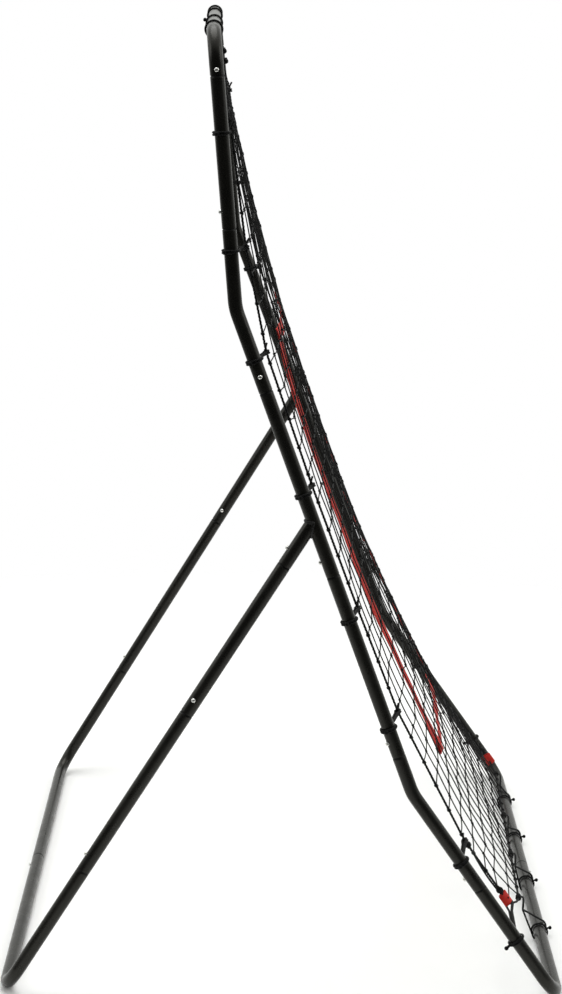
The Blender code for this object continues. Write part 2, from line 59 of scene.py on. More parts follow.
LEG_JOINT_HEIGHT = 0.933
RIGHT_LEAN = 0.015
CORNER_RADIUS = 0.055
BEND_RADIUS = 0.10
JOINT_REACH = (0.030, 0.026)
TOP_JOINT_REACH = (0.010, 0.0085)
SHOULDER = 0.003
CROSSBAR_START = 0.060
SIDE_JOINTS = (0.257, 0.519, 0.861, 1.198, 1.490, 1.735)
LEG_LOWER_JOINT = 0.282
LEG_UPPER_JOINTS = {"left": 0.5925, "right": 0.6505}
STUB_JOINT = 0.8766
TIES = (
    (1.626, 0.016, 0.032),
    (1.420, 0.026, 0.034),
    (1.225, 0.022, 0.046),
    (0.982, 0.017, 0.052),
    (0.748, 0.018, 0.062),
    (0.543, 0.022, 0.078),
    (0.283, 0.016, 0.088),
)
LOWEST_TIES = {"left": (0.130, 0.004, 0.168), "right": (0.095, 0.015, 0.110)}
ROPE_FEET = {"left": (0.112, 0.013, 0.212), "right": (0.068, 0.020, 0.150)}
ROPE_TOP = (0.145, 1.752)
ROPE_TOP_INSET = 0.060
ROPE_CORNER_RADIUS = 0.035

# Tubes in the order they join, each joint between two of them.
SIDE_TUBES = ("bottom_bar", "lower_bend", "lower_tube", "middle_tube", "upper_bend", "upper_tube", "top_bar")
LEG_TUBES = ("base_bar", "leg_lower", "leg_upper", "middle_tube")

# Tubes: sides of their section, rounding of a cut end, and what holds two pieces apart.
SIDES = 32
LIP = 0.0004
CREASE = 33
WELD_RADIUS = 0.0030
HOLE_RADIUS = 0.0047
HOLE_SPAN = (0.0075, 0.020)

# Spring buttons. Heights are from the tube's axis.
BUTTON_RADIUS = 0.0042
BUTTON_FLANGE = 0.0055
BUTTON_FOOT = 0.0062
BUTTON_RIM = 0.0135
BUTTON_DOME = 0.0034

# Border rope and net.
ROPE_RADIUS = 0.0025
ROPE_STRANDS = 3
ROPE_PITCH = 0.021
ROPE_KNOTS = ((0.60, 0.154, 1.715), (0.60, 0.150, 1.693))
BOTTOM_PULL = 0.006
TOP_PULL = 0.004
CORD_RADIUS = 0.0012
KNOT_SIZE = 0.0023
EDGE_KNOT_SIZE = 0.0013
NET_COLUMNS = 20
NET_ROWS = 33
RELAXING_ROUNDS = 1500

# Elastic ties. Bar ties are (X on the bar, X on the rope), or one X for both on the top bar.
TIE_RADIUS = 0.0020
TIE_CLEARANCE = 0.0004
LOWEST_CLEARANCE = 0.0030
KNOB_RADIUS = 0.0042
KNOB_STRETCH = 0.92
KNOB_STAND = 0.0062
LOWEST_STAND = 0.0125
PINCH = 0.007
CHOKE_STEPS = 22
HOOK_STEPS = 10
TURN_SPREAD = 0.0042
STRAND_SPREAD = 0.0023
FRONT_TIES = ((0.450, 0.44), (0.212, 0.13), (-0.045, -0.13), (-0.300, -0.395))
FRONT_HANG = ((0.022, -0.012, -0.010), (0.052, -0.016, -0.048))
TOP_TIES = (0.54, 0.31, -0.19, -0.54)
LASHING_SHARE = 0.84
LASHING_PITCH = 0.34

# Webbing. Target places are shares of the net's rows and columns, lifts are along its front's normal.
WEBBING_WIDTH = 0.025
WEBBING_THICKNESS = 0.0013
TARGET_ROWS = (0.295, 0.815)
TARGET_COLUMNS = (0.22, 0.71)
TARGET_LIFTS = {"upright_left": -0.0060, "upright_right": -0.0034, "level": -0.0048}
TARGET_TWIST = 0.26
LEFT_TWIST = 0.24
STITCH_INSET = 0.0020
STITCH_PITCH = 0.0046
STITCH_RADIUS = 0.00036
TAB_HALF = 0.0115
TAB_BULGE = 0.0042
TAB_TURN = 52
TAB_HEIGHT = 0.2

CAMERA_PLACE = (-4.854, 0.051, 1.943)
CAMERA_ANGLES = (0.22516, -0.00786, 0.01822)
CAMERA_LENS = 86.92
FLOOR_REACH = 4.0
FLOOR_DROP = 0.0004
UP = Vector((0, 0, 1))

dice = random.Random(7)


# ---------------------------------------------------------------- camera and light

def place_camera():
    """The camera's axes from its pitch, yaw and roll, as a long lens some five metres to the left."""
    pitch, yaw, roll = CAMERA_ANGLES
    look = Vector((math.cos(pitch) * math.cos(yaw), math.cos(pitch) * math.sin(yaw), -math.sin(pitch)))
    level = Vector((math.sin(yaw), -math.cos(yaw), 0))
    above = level.cross(look)
    right = level * math.cos(roll) + above * math.sin(roll)
    up = above * math.cos(roll) - level * math.sin(roll)
    data = bpy.data.cameras.new("camera")
    data.sensor_width = 36.0
    data.lens = CAMERA_LENS
    camera = bpy.data.objects.new("camera", data)
    axes = Matrix((right, up, -look)).transposed().to_4x4()
    camera.matrix_world = Matrix.Translation(CAMERA_PLACE) @ axes
    bpy.context.scene.collection.objects.link(camera)
    bpy.context.scene.camera = camera


def area_light(name, place, target, size, power):
    data = bpy.data.lights.new(name, "AREA")
    data.shape = "DISK"
    data.size = size
    data.energy = power
    light = bpy.data.objects.new(name, data)
    aim = (Vector(target) - Vector(place)).to_track_quat("-Z", "Y").to_matrix().to_4x4()
    light.matrix_world = Matrix.Translation(place) @ aim
    bpy.context.scene.collection.objects.link(light)


def light_the_stage():
    """A white studio whose dark side is on the left, so that steel seen square on stays dark."""
    world = bpy.data.worlds.new("studio")
    bpy.context.scene.world = world
    world.use_nodes = True
    sky = Nodes(world.node_tree)
    split = sky.node("SeparateXYZ", Vector=sky.where("Generated"))
    level = sky.maths("ADD", split.outputs["X"], sky.maths("MULTIPLY", split.outputs["Z"], 1.1))
    lit = world.node_tree.nodes["Background"]
    sky.put(lit, "Color", (0.99, 1.0, 0.97, 1))
    sky.put(lit, "Strength", sky.span(level, -0.35, 0.85, 0.06, 1.0, "SMOOTHSTEP"))
    seen = sky.node("Background", Color=(1, 1, 1, 1))
    is_seen = sky.node("LightPath").outputs["Is Camera Ray"]
    mix = sky.node("MixShader")
    for socket, value in enumerate((is_seen, lit.outputs[0], seen.outputs[0])):
        sky.put(mix, socket, value)
    sky.put(world.node_tree.nodes["World Output"], "Surface", mix.outputs[0])
    area_light("overhead", (0.6, 0.4, 5.0), (0, 0, 0.8), 4.0, 125)
    area_light("front_soft", (-0.6, -4.5, 3.2), (0, 0, 0.9), 2.5, 34)
    area_light("rear_soft", (-0.6, 4.5, 3.0), (0, 0, 0.9), 2.5, 26)
    view = bpy.context.scene.view_settings
    view.view_transform = "Standard"
    view.look = "None"


def add_floor():
    half = FLOOR_REACH
    mesh = bpy.data.meshes.new("floor")
    corners = [(-half, -half, 0), (half, -half, 0), (half, half, 0), (-half, half, 0)]
    mesh.from_pydata([Vector(c) - UP * FLOOR_DROP for c in corners], [], [(0, 1, 2, 3)])
    mesh.materials.append(floor_material())
    floor = bpy.data.objects.new("floor", mesh)
    bpy.context.scene.collection.objects.link(floor)


# ---------------------------------------------------------------- materials

class Nodes:
    """Short forms for building a node tree."""

    def __init__(self, tree):
        self.tree = tree

    def put(self, node, socket, value):
        if isinstance(value, bpy.types.NodeSocket):
            self.tree.links.new(value, node.inputs[socket])
        else:
            node.inputs[socket].default_value = value

    def node(self, kind, **sockets):
        made = self.tree.nodes.new("ShaderNode" + kind)
        for socket, value in sockets.items():
            self.put(made, socket.replace("_", " "), value)
        return made

    def where(self, kind="Object"):
        return self.node("TexCoord").outputs[kind]

    def noise(self, scale, detail=3.0, roughness=0.5):
        made = self.node("TexNoise", Vector=self.where(), Scale=scale, Detail=detail)
        made.inputs["Roughness"].default_value = roughness
        return made.outputs["Fac"]

    def maths(self, operation, a, b=0.0):
        made = self.node("Math")
        made.operation = operation
        self.put(made, 0, a)
        self.put(made, 1, b)
        return made.outputs[0]

    def span(self, value, low, high, to_low, to_high, kind="LINEAR"):
        made = self.node("MapRange", Value=value, From_Min=low, From_Max=high, To_Min=to_low, To_Max=to_high)
        made.interpolation_type = kind
        return made.outputs["Result"]


class Surface(Nodes):
    """A material's nodes. Colour, roughness and metal are plain values until something drives them."""

    def __init__(self, name, colour, roughness, metallic=0.0, **plain):
        self.material = bpy.data.materials.new(name)
        self.material.use_nodes = True
        super().__init__(self.material.node_tree)
        self.shader = self.tree.nodes["Principled BSDF"]
        self.put(self.shader, "Base Color", (*colour, 1))
        self.put(self.shader, "Roughness", roughness)
        self.put(self.shader, "Metallic", metallic)
        for socket, value in plain.items():
            self.put(self.shader, socket.replace("_", " "), value)

    def colour(self, value, low, high, dark, light):
        """The base colour runs from dark to light as the value goes from low to high."""
        made = self.node("ValToRGB", Fac=value)
        for stop, place, colour in zip(made.color_ramp.elements, (low, high), (dark, light)):
            stop.position = place
            stop.color = (*colour, 1)
        self.put(self.shader, "Base Color", made.outputs["Color"])

    def rough(self, value, low, high, to_low, to_high):
        self.put(self.shader, "Roughness", self.span(value, low, high, to_low, to_high))

    def bump(self, height, strength, distance, under=None):
        made = self.node("Bump", Height=height, Strength=strength, Distance=distance)
        if under:
            self.put(made, "Normal", under)
        self.put(self.shader, "Normal", made.outputs["Normal"])
        return made.outputs["Normal"]

    def run_waves(self, around, along):
        """A braid: two families of strands that cross, from the (share round, metres along) map."""
        split = self.node("SeparateXYZ", Vector=self.where("UV"))
        turn = self.maths("MULTIPLY", split.outputs["X"], 2 * math.pi * around)
        pace = self.maths("MULTIPLY", split.outputs["Y"], 2 * math.pi * along)
        one = self.maths("SINE", self.maths("ADD", turn, pace))
        two = self.maths("SINE", self.maths("SUBTRACT", turn, pace))
        return self.maths("MAXIMUM", one, two)


def coat_material():
    """Semi-gloss black powder coat with its orange peel, faint clouds and rubbed patches."""
    m = Surface("powder_coat", (0.0085, 0.0082, 0.0072), 0.32, Specular_IOR_Level=0.28)
    m.put(m.shader, "Specular Tint", (1.0, 0.985, 0.90, 1.0))
    dark, light = (0.0062, 0.0060, 0.0052), (0.0105, 0.0102, 0.0088)
    m.colour(m.noise(9, 4), 0.35, 0.72, dark, light)
    rubbed = m.span(m.noise(38, 5), 0.35, 0.7, 0.25, 0.35)
    m.put(m.shader, "Roughness", m.maths("ADD", rubbed, m.span(m.noise(420, 2), 0.3, 0.7, -0.03, 0.04)))
    peel = m.bump(m.noise(700, 2), 0.16, 0.0003)
    m.bump(m.noise(2600, 2), 0.10, 0.0001, peel)
    return m.material


def lip_material():
    """A cut tube end or drawn-in shoulder, where the coat is thin and bare steel shows in a few specks."""
    m = Surface("tube_lip", (0.004, 0.004, 0.0035), 0.55, Specular_IOR_Level=0.2)
    specks = m.noise(900, 4, 0.7)
    m.colour(specks, 0.66, 0.74, (0.003, 0.003, 0.0026), (0.16, 0.155, 0.14))
    m.put(m.shader, "Metallic", m.span(specks, 0.66, 0.74, 0.0, 1.0))
    m.bump(specks, 0.2, 0.0003)
    return m.material


def weld_material():
    m = Surface("coated_weld", (0.004, 0.004, 0.0035), 0.42, Specular_IOR_Level=0.3)
    m.rough(m.noise(300, 3), 0.3, 0.7, 0.34, 0.54)
    m.bump(m.noise(900, 3), 0.3, 0.0004)
    return m.material


def zinc_material():
    """Bright zinc plate with its faint blue and yellow bloom."""
    m = Surface("zinc_plate", (0.70, 0.70, 0.68), 0.24, 1.0)
    m.colour(m.noise(260, 4), 0.3, 0.75, (0.56, 0.58, 0.60), (0.80, 0.78, 0.70))
    m.rough(m.noise(1400, 3), 0.3, 0.7, 0.18, 0.36)
    m.bump(m.noise(1800, 3), 0.18, 0.0001)
    return m.material


def cord_material(name, colour, around, along, sheen):
    """Braided cord. The braid follows the cord's own run, and its colour carries painted shade in the braid's
    grooves and a painted highlight on its crests.
    """
    m = Surface(name, colour, 0.72, Sheen_Weight=sheen, Specular_IOR_Level=0.15)
    m.shader.inputs["Sheen Roughness"].default_value = 0.45
    braid = m.run_waves(around, along)
    # Painted shade in the braid's grooves and painted highlight on its crests, with random tone over them.
    groove_shade_colour = tuple(c * 0.45 for c in colour)
    lit = tuple(c * 1.7 for c in colour)
    painted_shade_and_tone = m.maths("ADD", m.span(braid, -1, 1, 0, 0.75), m.span(m.noise(160, 3), 0.3, 0.7, 0, 0.25))
    m.colour(painted_shade_and_tone, 0.1, 0.95, groove_shade_colour, lit)
    m.rough(braid, -1, 1, 0.85, 0.62)
    shape = m.bump(braid, 0.7, 0.0004)
    m.bump(m.noise(6000, 2), 0.35, 0.0001, shape)
    return m.material


def webbing_material():
    """Red polyester webbing: ribs along it, picks across it, painted shade between them, and a slightly
    faded, fuzzy face.
    """
    m = Surface("red_webbing_weave", (0.62, 0.035, 0.022), 0.66, Sheen_Weight=0.06, Specular_IOR_Level=0.2)
    m.shader.inputs["Sheen Roughness"].default_value = 0.4
    split = m.node("SeparateXYZ", Vector=m.where("UV"))
    ribs = m.maths("SINE", m.maths("MULTIPLY", split.outputs["X"], 2 * math.pi * 13))
    picks = m.maths("SINE", m.maths("MULTIPLY", split.outputs["Y"], 2 * math.pi * 620))
    weave = m.maths("ADD", ribs, m.maths("MULTIPLY", ribs, picks))
    fade = m.noise(28, 4)
    # Painted shade between the ribs and picks, plus a random faded tone.
    painted_shade_and_tone = m.maths("ADD", m.span(weave, -2, 2, 0.0, 0.6), m.span(fade, 0.3, 0.7, 0.0, 0.4))
    m.colour(painted_shade_and_tone, 0.1, 0.9, (0.36, 0.010, 0.007), (0.70, 0.034, 0.020))
    m.rough(weave, -2, 2, 0.78, 0.55)
    shape = m.bump(weave, 0.6, 0.0003)
    m.bump(m.noise(5200, 2), 0.3, 0.0001, shape)
    return m.material


def thread_material():
    m = Surface("red_thread", (0.50, 0.022, 0.014), 0.55, Sheen_Weight=0.05)
    dark, light = (0.34, 0.010, 0.007), (0.62, 0.032, 0.020)
    m.colour(m.noise(900, 2), 0.3, 0.7, dark, light)
    m.bump(m.noise(4000, 2), 0.4, 0.0001)
    return m.material


def floor_material():
    """Pale matt studio board, fading into the white round it a few metres out."""
    m = Surface("studio_floor", (0.90, 0.90, 0.89), 0.75, Specular_IOR_Level=0.15)
    m.colour(m.noise(3, 3), 0.3, 0.7, (0.895, 0.895, 0.89), (0.91, 0.91, 0.905))
    m.rough(m.noise(120, 3), 0.3, 0.7, 0.7, 0.8)
    m.bump(m.noise(700, 2), 0.05, 0.0002)
    reach = m.node("VectorMath", Vector=m.where())
    reach.operation = "LENGTH"
    m.put(m.shader, "Alpha", m.span(reach.outputs["Value"], 1.3, 2.6, 1.0, 0.0))
    return m.material


# ---------------------------------------------------------------- lines through space

def round_corner(before, corner, after, radius, steps):
    """The points of an arc of this radius that replaces the corner."""
    towards = (before - corner).normalized()
    onwards = (after - corner).normalized()
    turn = math.pi - towards.angle(onwards)
    start = corner + towards * radius * math.tan(turn / 2)
    centre = corner + (towards + onwards).normalized() * radius / math.cos(turn / 2)
    axis = (-towards).cross(onwards).normalized()
    arm = start - centre
    return [centre + Matrix.Rotation(turn * k / steps, 3, axis) @ arm for k in range(steps + 1)]


class Route:
    """A centreline of straight runs and arcs, carrying a section frame that never twists about it."""

    def __init__(self, corners, radii, steps):
        corners = [Vector(c) for c in corners]
        self.points = [corners[0]]
        for i, (radius, count) in enumerate(zip(radii, steps), start=1):
            self.points += round_corner(corners[i - 1], corners[i], corners[i + 1], radius, count)
        self.points.append(corners[-1])
        pairs = list(zip(self.points, self.points[1:]))
        self.directions = [(b - a).normalized() for a, b in pairs]
        self.stations = [0.0]
        for a, b in pairs:
            self.stations.append(self.stations[-1] + (b - a).length)
        self.normals = [-UP]
        for a, b in zip(self.directions, self.directions[1:]):
            self.normals.append(a.rotation_difference(b) @ self.normals[-1])
        self.length = self.stations[-1]

    def frame(self, station):
        """(point, direction, normal) at this distance along the route."""
        for k, here in enumerate(self.stations[1:-1], start=1):
            if abs(station - here) < 1e-7:
                before = self.directions[k - 1]
                middle = (before + self.directions[k]).normalized()
                return self.points[k], middle, before.rotation_difference(middle) @ self.normals[k - 1]
        k = max(i for i, here in enumerate(self.stations[:-1]) if here <= station + 1e-9 or i == 0)
        direction = self.directions[k]
        return self.points[k] + direction * (station - self.stations[k]), direction, self.normals[k]

    def at_height(self, height):
        for k, (a, b) in enumerate(zip(self.points, self.points[1:])):
            if a.z < height <= b.z:
                return self.stations[k] + (b - a).length * (height - a.z) / (b.z - a.z)
        raise ValueError("the route doesn't reach this height")


def smooth_line(points, per_span, closed=False):
    """A Catmull-Rom line through the points."""
    count = len(points)
    spans = count if closed else count - 1
    out = []
    for k in range(spans):
        if closed:
            p = [points[(k + i) % count] for i in (-1, 0, 1, 2)]
        else:
            p = [points[min(max(k + i, 0), count - 1)] for i in (-1, 0, 1, 2)]
        for step in range(per_span):
            t = step / per_span
            a = p[1] * 2 + (p[2] - p[0]) * t
            b = (p[0] * 2 - p[1] * 5 + p[2] * 4 - p[3]) * t * t
            c = (p[1] * 3 - p[0] - p[2] * 3 + p[3]) * t * t * t
            out.append((a + b + c) / 2)
    if not closed:
        out.append(points[-1])
    return out


def along(points, share):
    """The point at this share of a line's length."""
    left = share * length_of(points)
    for a, b in zip(points, points[1:]):
        step = (b - a).length
        if left <= step:
            return a.lerp(b, left / step)
        left -= step
    return points[-1].copy()


def length_of(points):
    return sum((b - a).length for a, b in zip(points, points[1:]))


def evenly(points, step, closed=True):
    """The line's points again, about this far apart."""
    line = points + [points[0]] if closed else points
    total = length_of(line)
    count = max(int(total / step), 2)
    out, k, done = [], 0, 0.0
    for i in range(count if closed else count + 1):
        goal = total * i / count
        while k < len(line) - 2 and done + (line[k + 1] - line[k]).length < goal:
            done += (line[k + 1] - line[k]).length
            k += 1
        here = max((line[k + 1] - line[k]).length, 1e-9)
        out.append(line[k].lerp(line[k + 1], min((goal - done) / here, 1.0)))
    return out


def headings(points, closed=False):
    """The forward direction at each point of a line."""
    count = len(points)
    if closed:
        return [(points[(k + 1) % count] - points[k - 1]).normalized() for k in range(count)]
    return [(points[min(k + 1, count - 1)] - points[max(k - 1, 0)]).normalized() for k in range(count)]


def frames_along(points, closed):
    """(point, forward, normal) along a line, with a frame that doesn't twist."""
    ahead = headings(points, closed)
    arm = ahead[0].orthogonal().normalized()
    out = [(points[0], ahead[0], arm)]
    for k in range(1, len(points)):
        arm = ahead[k - 1].rotation_difference(ahead[k]) @ arm
        out.append((points[k], ahead[k], arm))
    return out


def closing_turn(frames):
    """How far the frame that came round a closed line has to turn to meet the first."""
    (_, first, arm), (_, last, normal) = frames[0], frames[-1]
    carried = last.rotation_difference(first) @ normal
    return math.atan2(carried.cross(arm).dot(first), carried.dot(arm))


def spoke(arm, forward, angle):
    """The arm, turned this far about the forward direction."""
    return arm * math.cos(angle) + forward.cross(arm) * math.sin(angle)


# ---------------------------------------------------------------- meshes

def quads(rings, shares, run, closed):
    """The faces between rings of points and their (share round, distance along) map. Open ends get a cap."""
    count = len(shares) - 1
    faces, maps = [], []
    for row in range(rings if closed else rings - 1):
        below, above = row * count, (row + 1) % rings * count
        low, high = run[row], run[row + 1]
        for i in range(count):
            j = (i + 1) % count
            faces.append((below + i, below + j, above + j, above + i))
            a, b = shares[i], shares[i + 1]
            maps.append([(a, low), (b, low), (b, high), (a, high)])
    if not closed:
        faces += [tuple(reversed(range(count))), tuple(range((rings - 1) * count, rings * count))]
        maps += [[(0.0, 0.0)] * count] * 2
    return faces, maps


class Mesh:
    """Points, faces, a (round, along) map and a material number for each face."""

    def __init__(self):
        self.points, self.faces, self.maps, self.looks = [], [], [], []

    def add(self, points, faces, maps=None, look=0):
        first = len(self.points)
        self.points += points
        self.faces += [tuple(first + i for i in face) for face in faces]
        self.maps += maps or [[(0.0, 0.0)] * len(face) for face in faces]
        self.looks += [look] * len(faces)

    def build(self, name, materials, body="frame", slot=None, crease=40):
        mesh = bpy.data.meshes.new(name)
        mesh.from_pydata(self.points, [], self.faces)
        layer = mesh.uv_layers.new(name="run")
        flat = [x for face in self.maps for uv in face for x in uv]
        layer.data.foreach_set("uv", np.array(flat, np.float32))
        mesh.polygons.foreach_set("material_index", self.looks)
        for each in materials:
            mesh.materials.append(each)
        mesh.shade_smooth()
        mesh.set_sharp_from_angle(angle=math.radians(crease))
        obj = bpy.data.objects.new(name, mesh)
        bpy.context.scene.collection.objects.link(obj)
        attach(obj, body)
        return obj

    def sweep(self, points, radius, sides, closed=False, look=0):
        """A round section carried along a line. Radius is one number, or one for each point."""
        count = len(points)
        radii = [radius] * count if isinstance(radius, float) else radius
        frames = frames_along(points, closed)
        drift = closing_turn(frames) if closed else 0.0
        rings, run = [], [0.0]
        for k, (point, forward, normal) in enumerate(frames):
            arm = Matrix.Rotation(drift * k / count, 3, forward) @ normal
            rings += [point + spoke(arm, forward, 2 * math.pi * i / sides) * radii[k] for i in range(sides)]
            run.append(run[-1] + (points[(k + 1) % count] - point).length)
        faces, maps = quads(count, [i / sides for i in range(sides + 1)], run, closed)
        self.add(rings, faces, maps, look)

    def lathe(self, place, foot, profile, crown, segments, look=0):
        """A closed turned form from (radius, height) pairs, between the poles' heights, foot and crown."""
        points = [place @ Vector((0, 0, foot))]
        for radius, height in profile:
            for k in range(segments):
                turn = 2 * math.pi * k / segments
                points.append(place @ Vector((radius * math.cos(turn), radius * math.sin(turn), height)))
        points.append(place @ Vector((0, 0, crown)))
        last = 1 + (len(profile) - 1) * segments
        faces = [(0, 1 + (k + 1) % segments, 1 + k) for k in range(segments)]
        for row in range(len(profile) - 1):
            for k in range(segments):
                a, b = 1 + row * segments + k, 1 + row * segments + (k + 1) % segments
                faces.append((a, b, b + segments, a + segments))
        faces += [(last + k, last + (k + 1) % segments, len(points) - 1) for k in range(segments)]
        self.add(points, faces, None, look)

    def ball(self, place, radius, segments, rows, look=0, stretch=1.0):
        """A closed round knob. Place is its centre's placement, with the pole along local +Z."""
        tall = radius * stretch
        tilts = [math.pi * row / rows for row in range(1, rows)]
        profile = [(radius * math.sin(tilt), -tall * math.cos(tilt)) for tilt in tilts]
        self.lathe(place, -tall, profile, tall, segments, look)

    def knob(self, centre, out, foot, stand, radius, neck):
        """A tie's ball, this far out from the centre, and the neck under it from the foot's height."""
        place = pointing(centre + out * stand, out)
        self.ball(place, radius, 14, 9, look=1, stretch=KNOB_STRETCH)
        self.sweep([centre + out * foot, centre + out * stand], neck, 10, look=1)


def pointing(place, direction):
    return Matrix.Translation(place) @ direction.to_track_quat("Z", "X").to_matrix().to_4x4()


# ---------------------------------------------------------------- tubes

def side_point(sign, outline_point):
    """A point of a side frame's outline. The right frame leans back."""
    y, z = outline_point
    lean = RIGHT_LEAN * (z - FLOOR_AXIS) if sign > 0 else 0.0
    return Vector((sign * SPAN / 2, y + lean, z))


def bar_end(sign, corner):
    """Where this side's half of a crossbar's line ends, past the middle."""
    here, there = side_point(sign, corner), side_point(-sign, corner)
    return (here + there) / 2 + (there - here).normalized() * CROSSBAR_START


def rope_top_corner(sign):
    return side_point(sign, ROPE_TOP) - Vector((sign * ROPE_TOP_INSET, 0, 0))


def main_route(sign):
    outline = [side_point(sign, p) for p in (FRONT_CORNER, LOWER_BEND, UPPER_BEND, TOP_CORNER)]
    corners = [bar_end(sign, FRONT_CORNER), *outline, bar_end(sign, TOP_CORNER)]
    return Route(corners, (CORNER_RADIUS, BEND_RADIUS, BEND_RADIUS, CORNER_RADIUS), (16, 6, 6, 16))


def leg_joint(sign):
    low, high = LOWER_BEND, UPPER_BEND
    share = (LEG_JOINT_HEIGHT - low[1]) / (high[1] - low[1])
    return side_point(sign, (low[0] + share * (high[0] - low[0]), LEG_JOINT_HEIGHT))


def leg_route(sign):
    corners = [bar_end(sign, REAR_CORNER), side_point(sign, REAR_CORNER), leg_joint(sign)]
    return Route(corners, (CORNER_RADIUS,), (16,))


def wall_line(route, start, end, spigots, inset, marks):
    """(station, radius) pairs of one wall surface. Spigots are how long each end is drawn in.

    A cut end has a rounded lip. Extra rings stand by each step and button hole, to keep the shading flat.
    """
    full = TUBE_RADIUS - inset
    reduced = full - TUBE_WALL - GAP
    lip = LIP if inset == 0.0 else 0.0
    pairs = []
    for reach, place, onwards in ((spigots[0], start, 1), (spigots[1], end, -1)):
        here = reduced if reach else full
        rim = ((0, 1), (0.3, 0.3), (1, 0), (4, 0)) if lip else ((0, 0),)
        pairs += [(place + onwards * lip * far, here - lip * sunk) for far, sunk in rim]
        if reach:
            cone = place + onwards * (reach + GAP)
            steps = ((0, reduced), (0.5, (reduced + full) / 2), (1, full), (1.5, full))
            pairs += [(cone + onwards * SHOULDER * k, radius) for k, radius in steps]
    inside = [s for s in route.stations if start + 1e-4 < s < end - 1e-4]
    inside += [m + d for m in marks for d in (-0.009, 0.009)]
    low = max(s for s, _ in pairs if s < (start + end) / 2)
    high = min(s for s, _ in pairs if s > (start + end) / 2)
    pairs += [(s, full) for s in inside if low + 0.0002 < s < high - 0.0002]
    if spigots[0]:
        pairs += [(s, reduced) for s in inside if start + 0.001 < s < start + spigots[0] - 0.0002]
    if spigots[1]:
        pairs += [(s, reduced) for s in inside if end - spigots[1] + 0.0002 < s < end - 0.001]
    return sorted(pairs)


def tube_mesh(route, start, end, spigots, marks):
    """The walls of one tube. Its lips and shoulders take the second material."""
    outer = wall_line(route, start, end, spigots, 0.0, marks)
    line = outer + wall_line(route, start, end, spigots, TUBE_WALL, marks)[::-1]
    points, looks = [], []
    for k, (station, radius) in enumerate(line):
        point, direction, normal = route.frame(station)
        points += [point + spoke(normal, direction, 2 * math.pi * i / SIDES) * radius for i in range(SIDES)]
        next_radius = line[(k + 1) % len(line)][1]
        looks += [1 if abs(radius - next_radius) > 1e-5 else 0] * SIDES
    run = [station for station, _ in line + line[:1]]
    mesh = Mesh()
    mesh.add(points, *quads(len(line), [i / SIDES for i in range(SIDES + 1)], run, True))
    mesh.looks = looks
    return mesh


def face_outwards(obj):
    """Turns a closed mesh whose faces point inwards."""
    mesh = obj.data
    mesh.calc_loop_triangles()
    points = np.array([v.co for v in mesh.vertices])
    corners = points[np.array([t.vertices for t in mesh.loop_triangles])]
    if np.einsum("ij,ij->i", corners[:, 0], np.cross(corners[:, 1], corners[:, 2])).sum() < 0:
        mesh.flip_normals()
    return obj


def carve(obj, cutters):
    """Cuts the helpers out of the object, and removes them."""
    for cutter in cutters:
        face_outwards(cutter)
        modifier = obj.modifiers.new(cutter.name, "BOOLEAN")
        modifier.operation = "DIFFERENCE"
        modifier.solver = "EXACT"
        modifier.object = cutter
    bpy.context.view_layer.update()
    solved = obj.evaluated_get(bpy.context.evaluated_depsgraph_get())
    mesh = bpy.data.meshes.new_from_object(solved)
    obj.modifiers.clear()
    obj.data = mesh
    for cutter in cutters:
        bpy.data.objects.remove(cutter, do_unlink=True)


def hole_cutter(name, place, materials):
    """The rod that makes one button's hole."""
    mesh = Mesh()
    mesh.sweep([place @ Vector((0, 0, height)) for height in HOLE_SPAN], HOLE_RADIUS, 20)
    return mesh.build(name, materials)


def joint_list(route, heights):
    """(button station, sleeve end, spigot end, overlap) of each joint up the route."""
    joints = []
    for height in heights:
        reach = TOP_JOINT_REACH if height == SIDE_JOINTS[-1] else JOINT_REACH
        button = route.at_height(height)
        joints.append((button, button - reach[0], button + reach[1], sum(reach)))
    return joints


def spans_of(route, joints, side, has_top_bar):
    """(start, end, spigots) of each tube. The left half of a crossbar is its sleeve."""
    reach, spigot = (JOINT_REACH[0], 0.0) if side == "left" else (JOINT_REACH[1], sum(JOINT_REACH))
    starts = [(CROSSBAR_START - reach, spigot)] + [(j[1], 0.0) for j in joints]
    ends = [(j[2], j[3]) for j in joints]
    if has_top_bar:
        ends.append((route.length - CROSSBAR_START + reach, spigot))
    return [(a[0], b[0], (a[1], b[1])) for a, b in zip(starts, ends)]


def button_place(route, station, outward):
    point, direction, _ = route.frame(station)
    return pointing(point, (outward - direction * outward.dot(direction)).normalized())


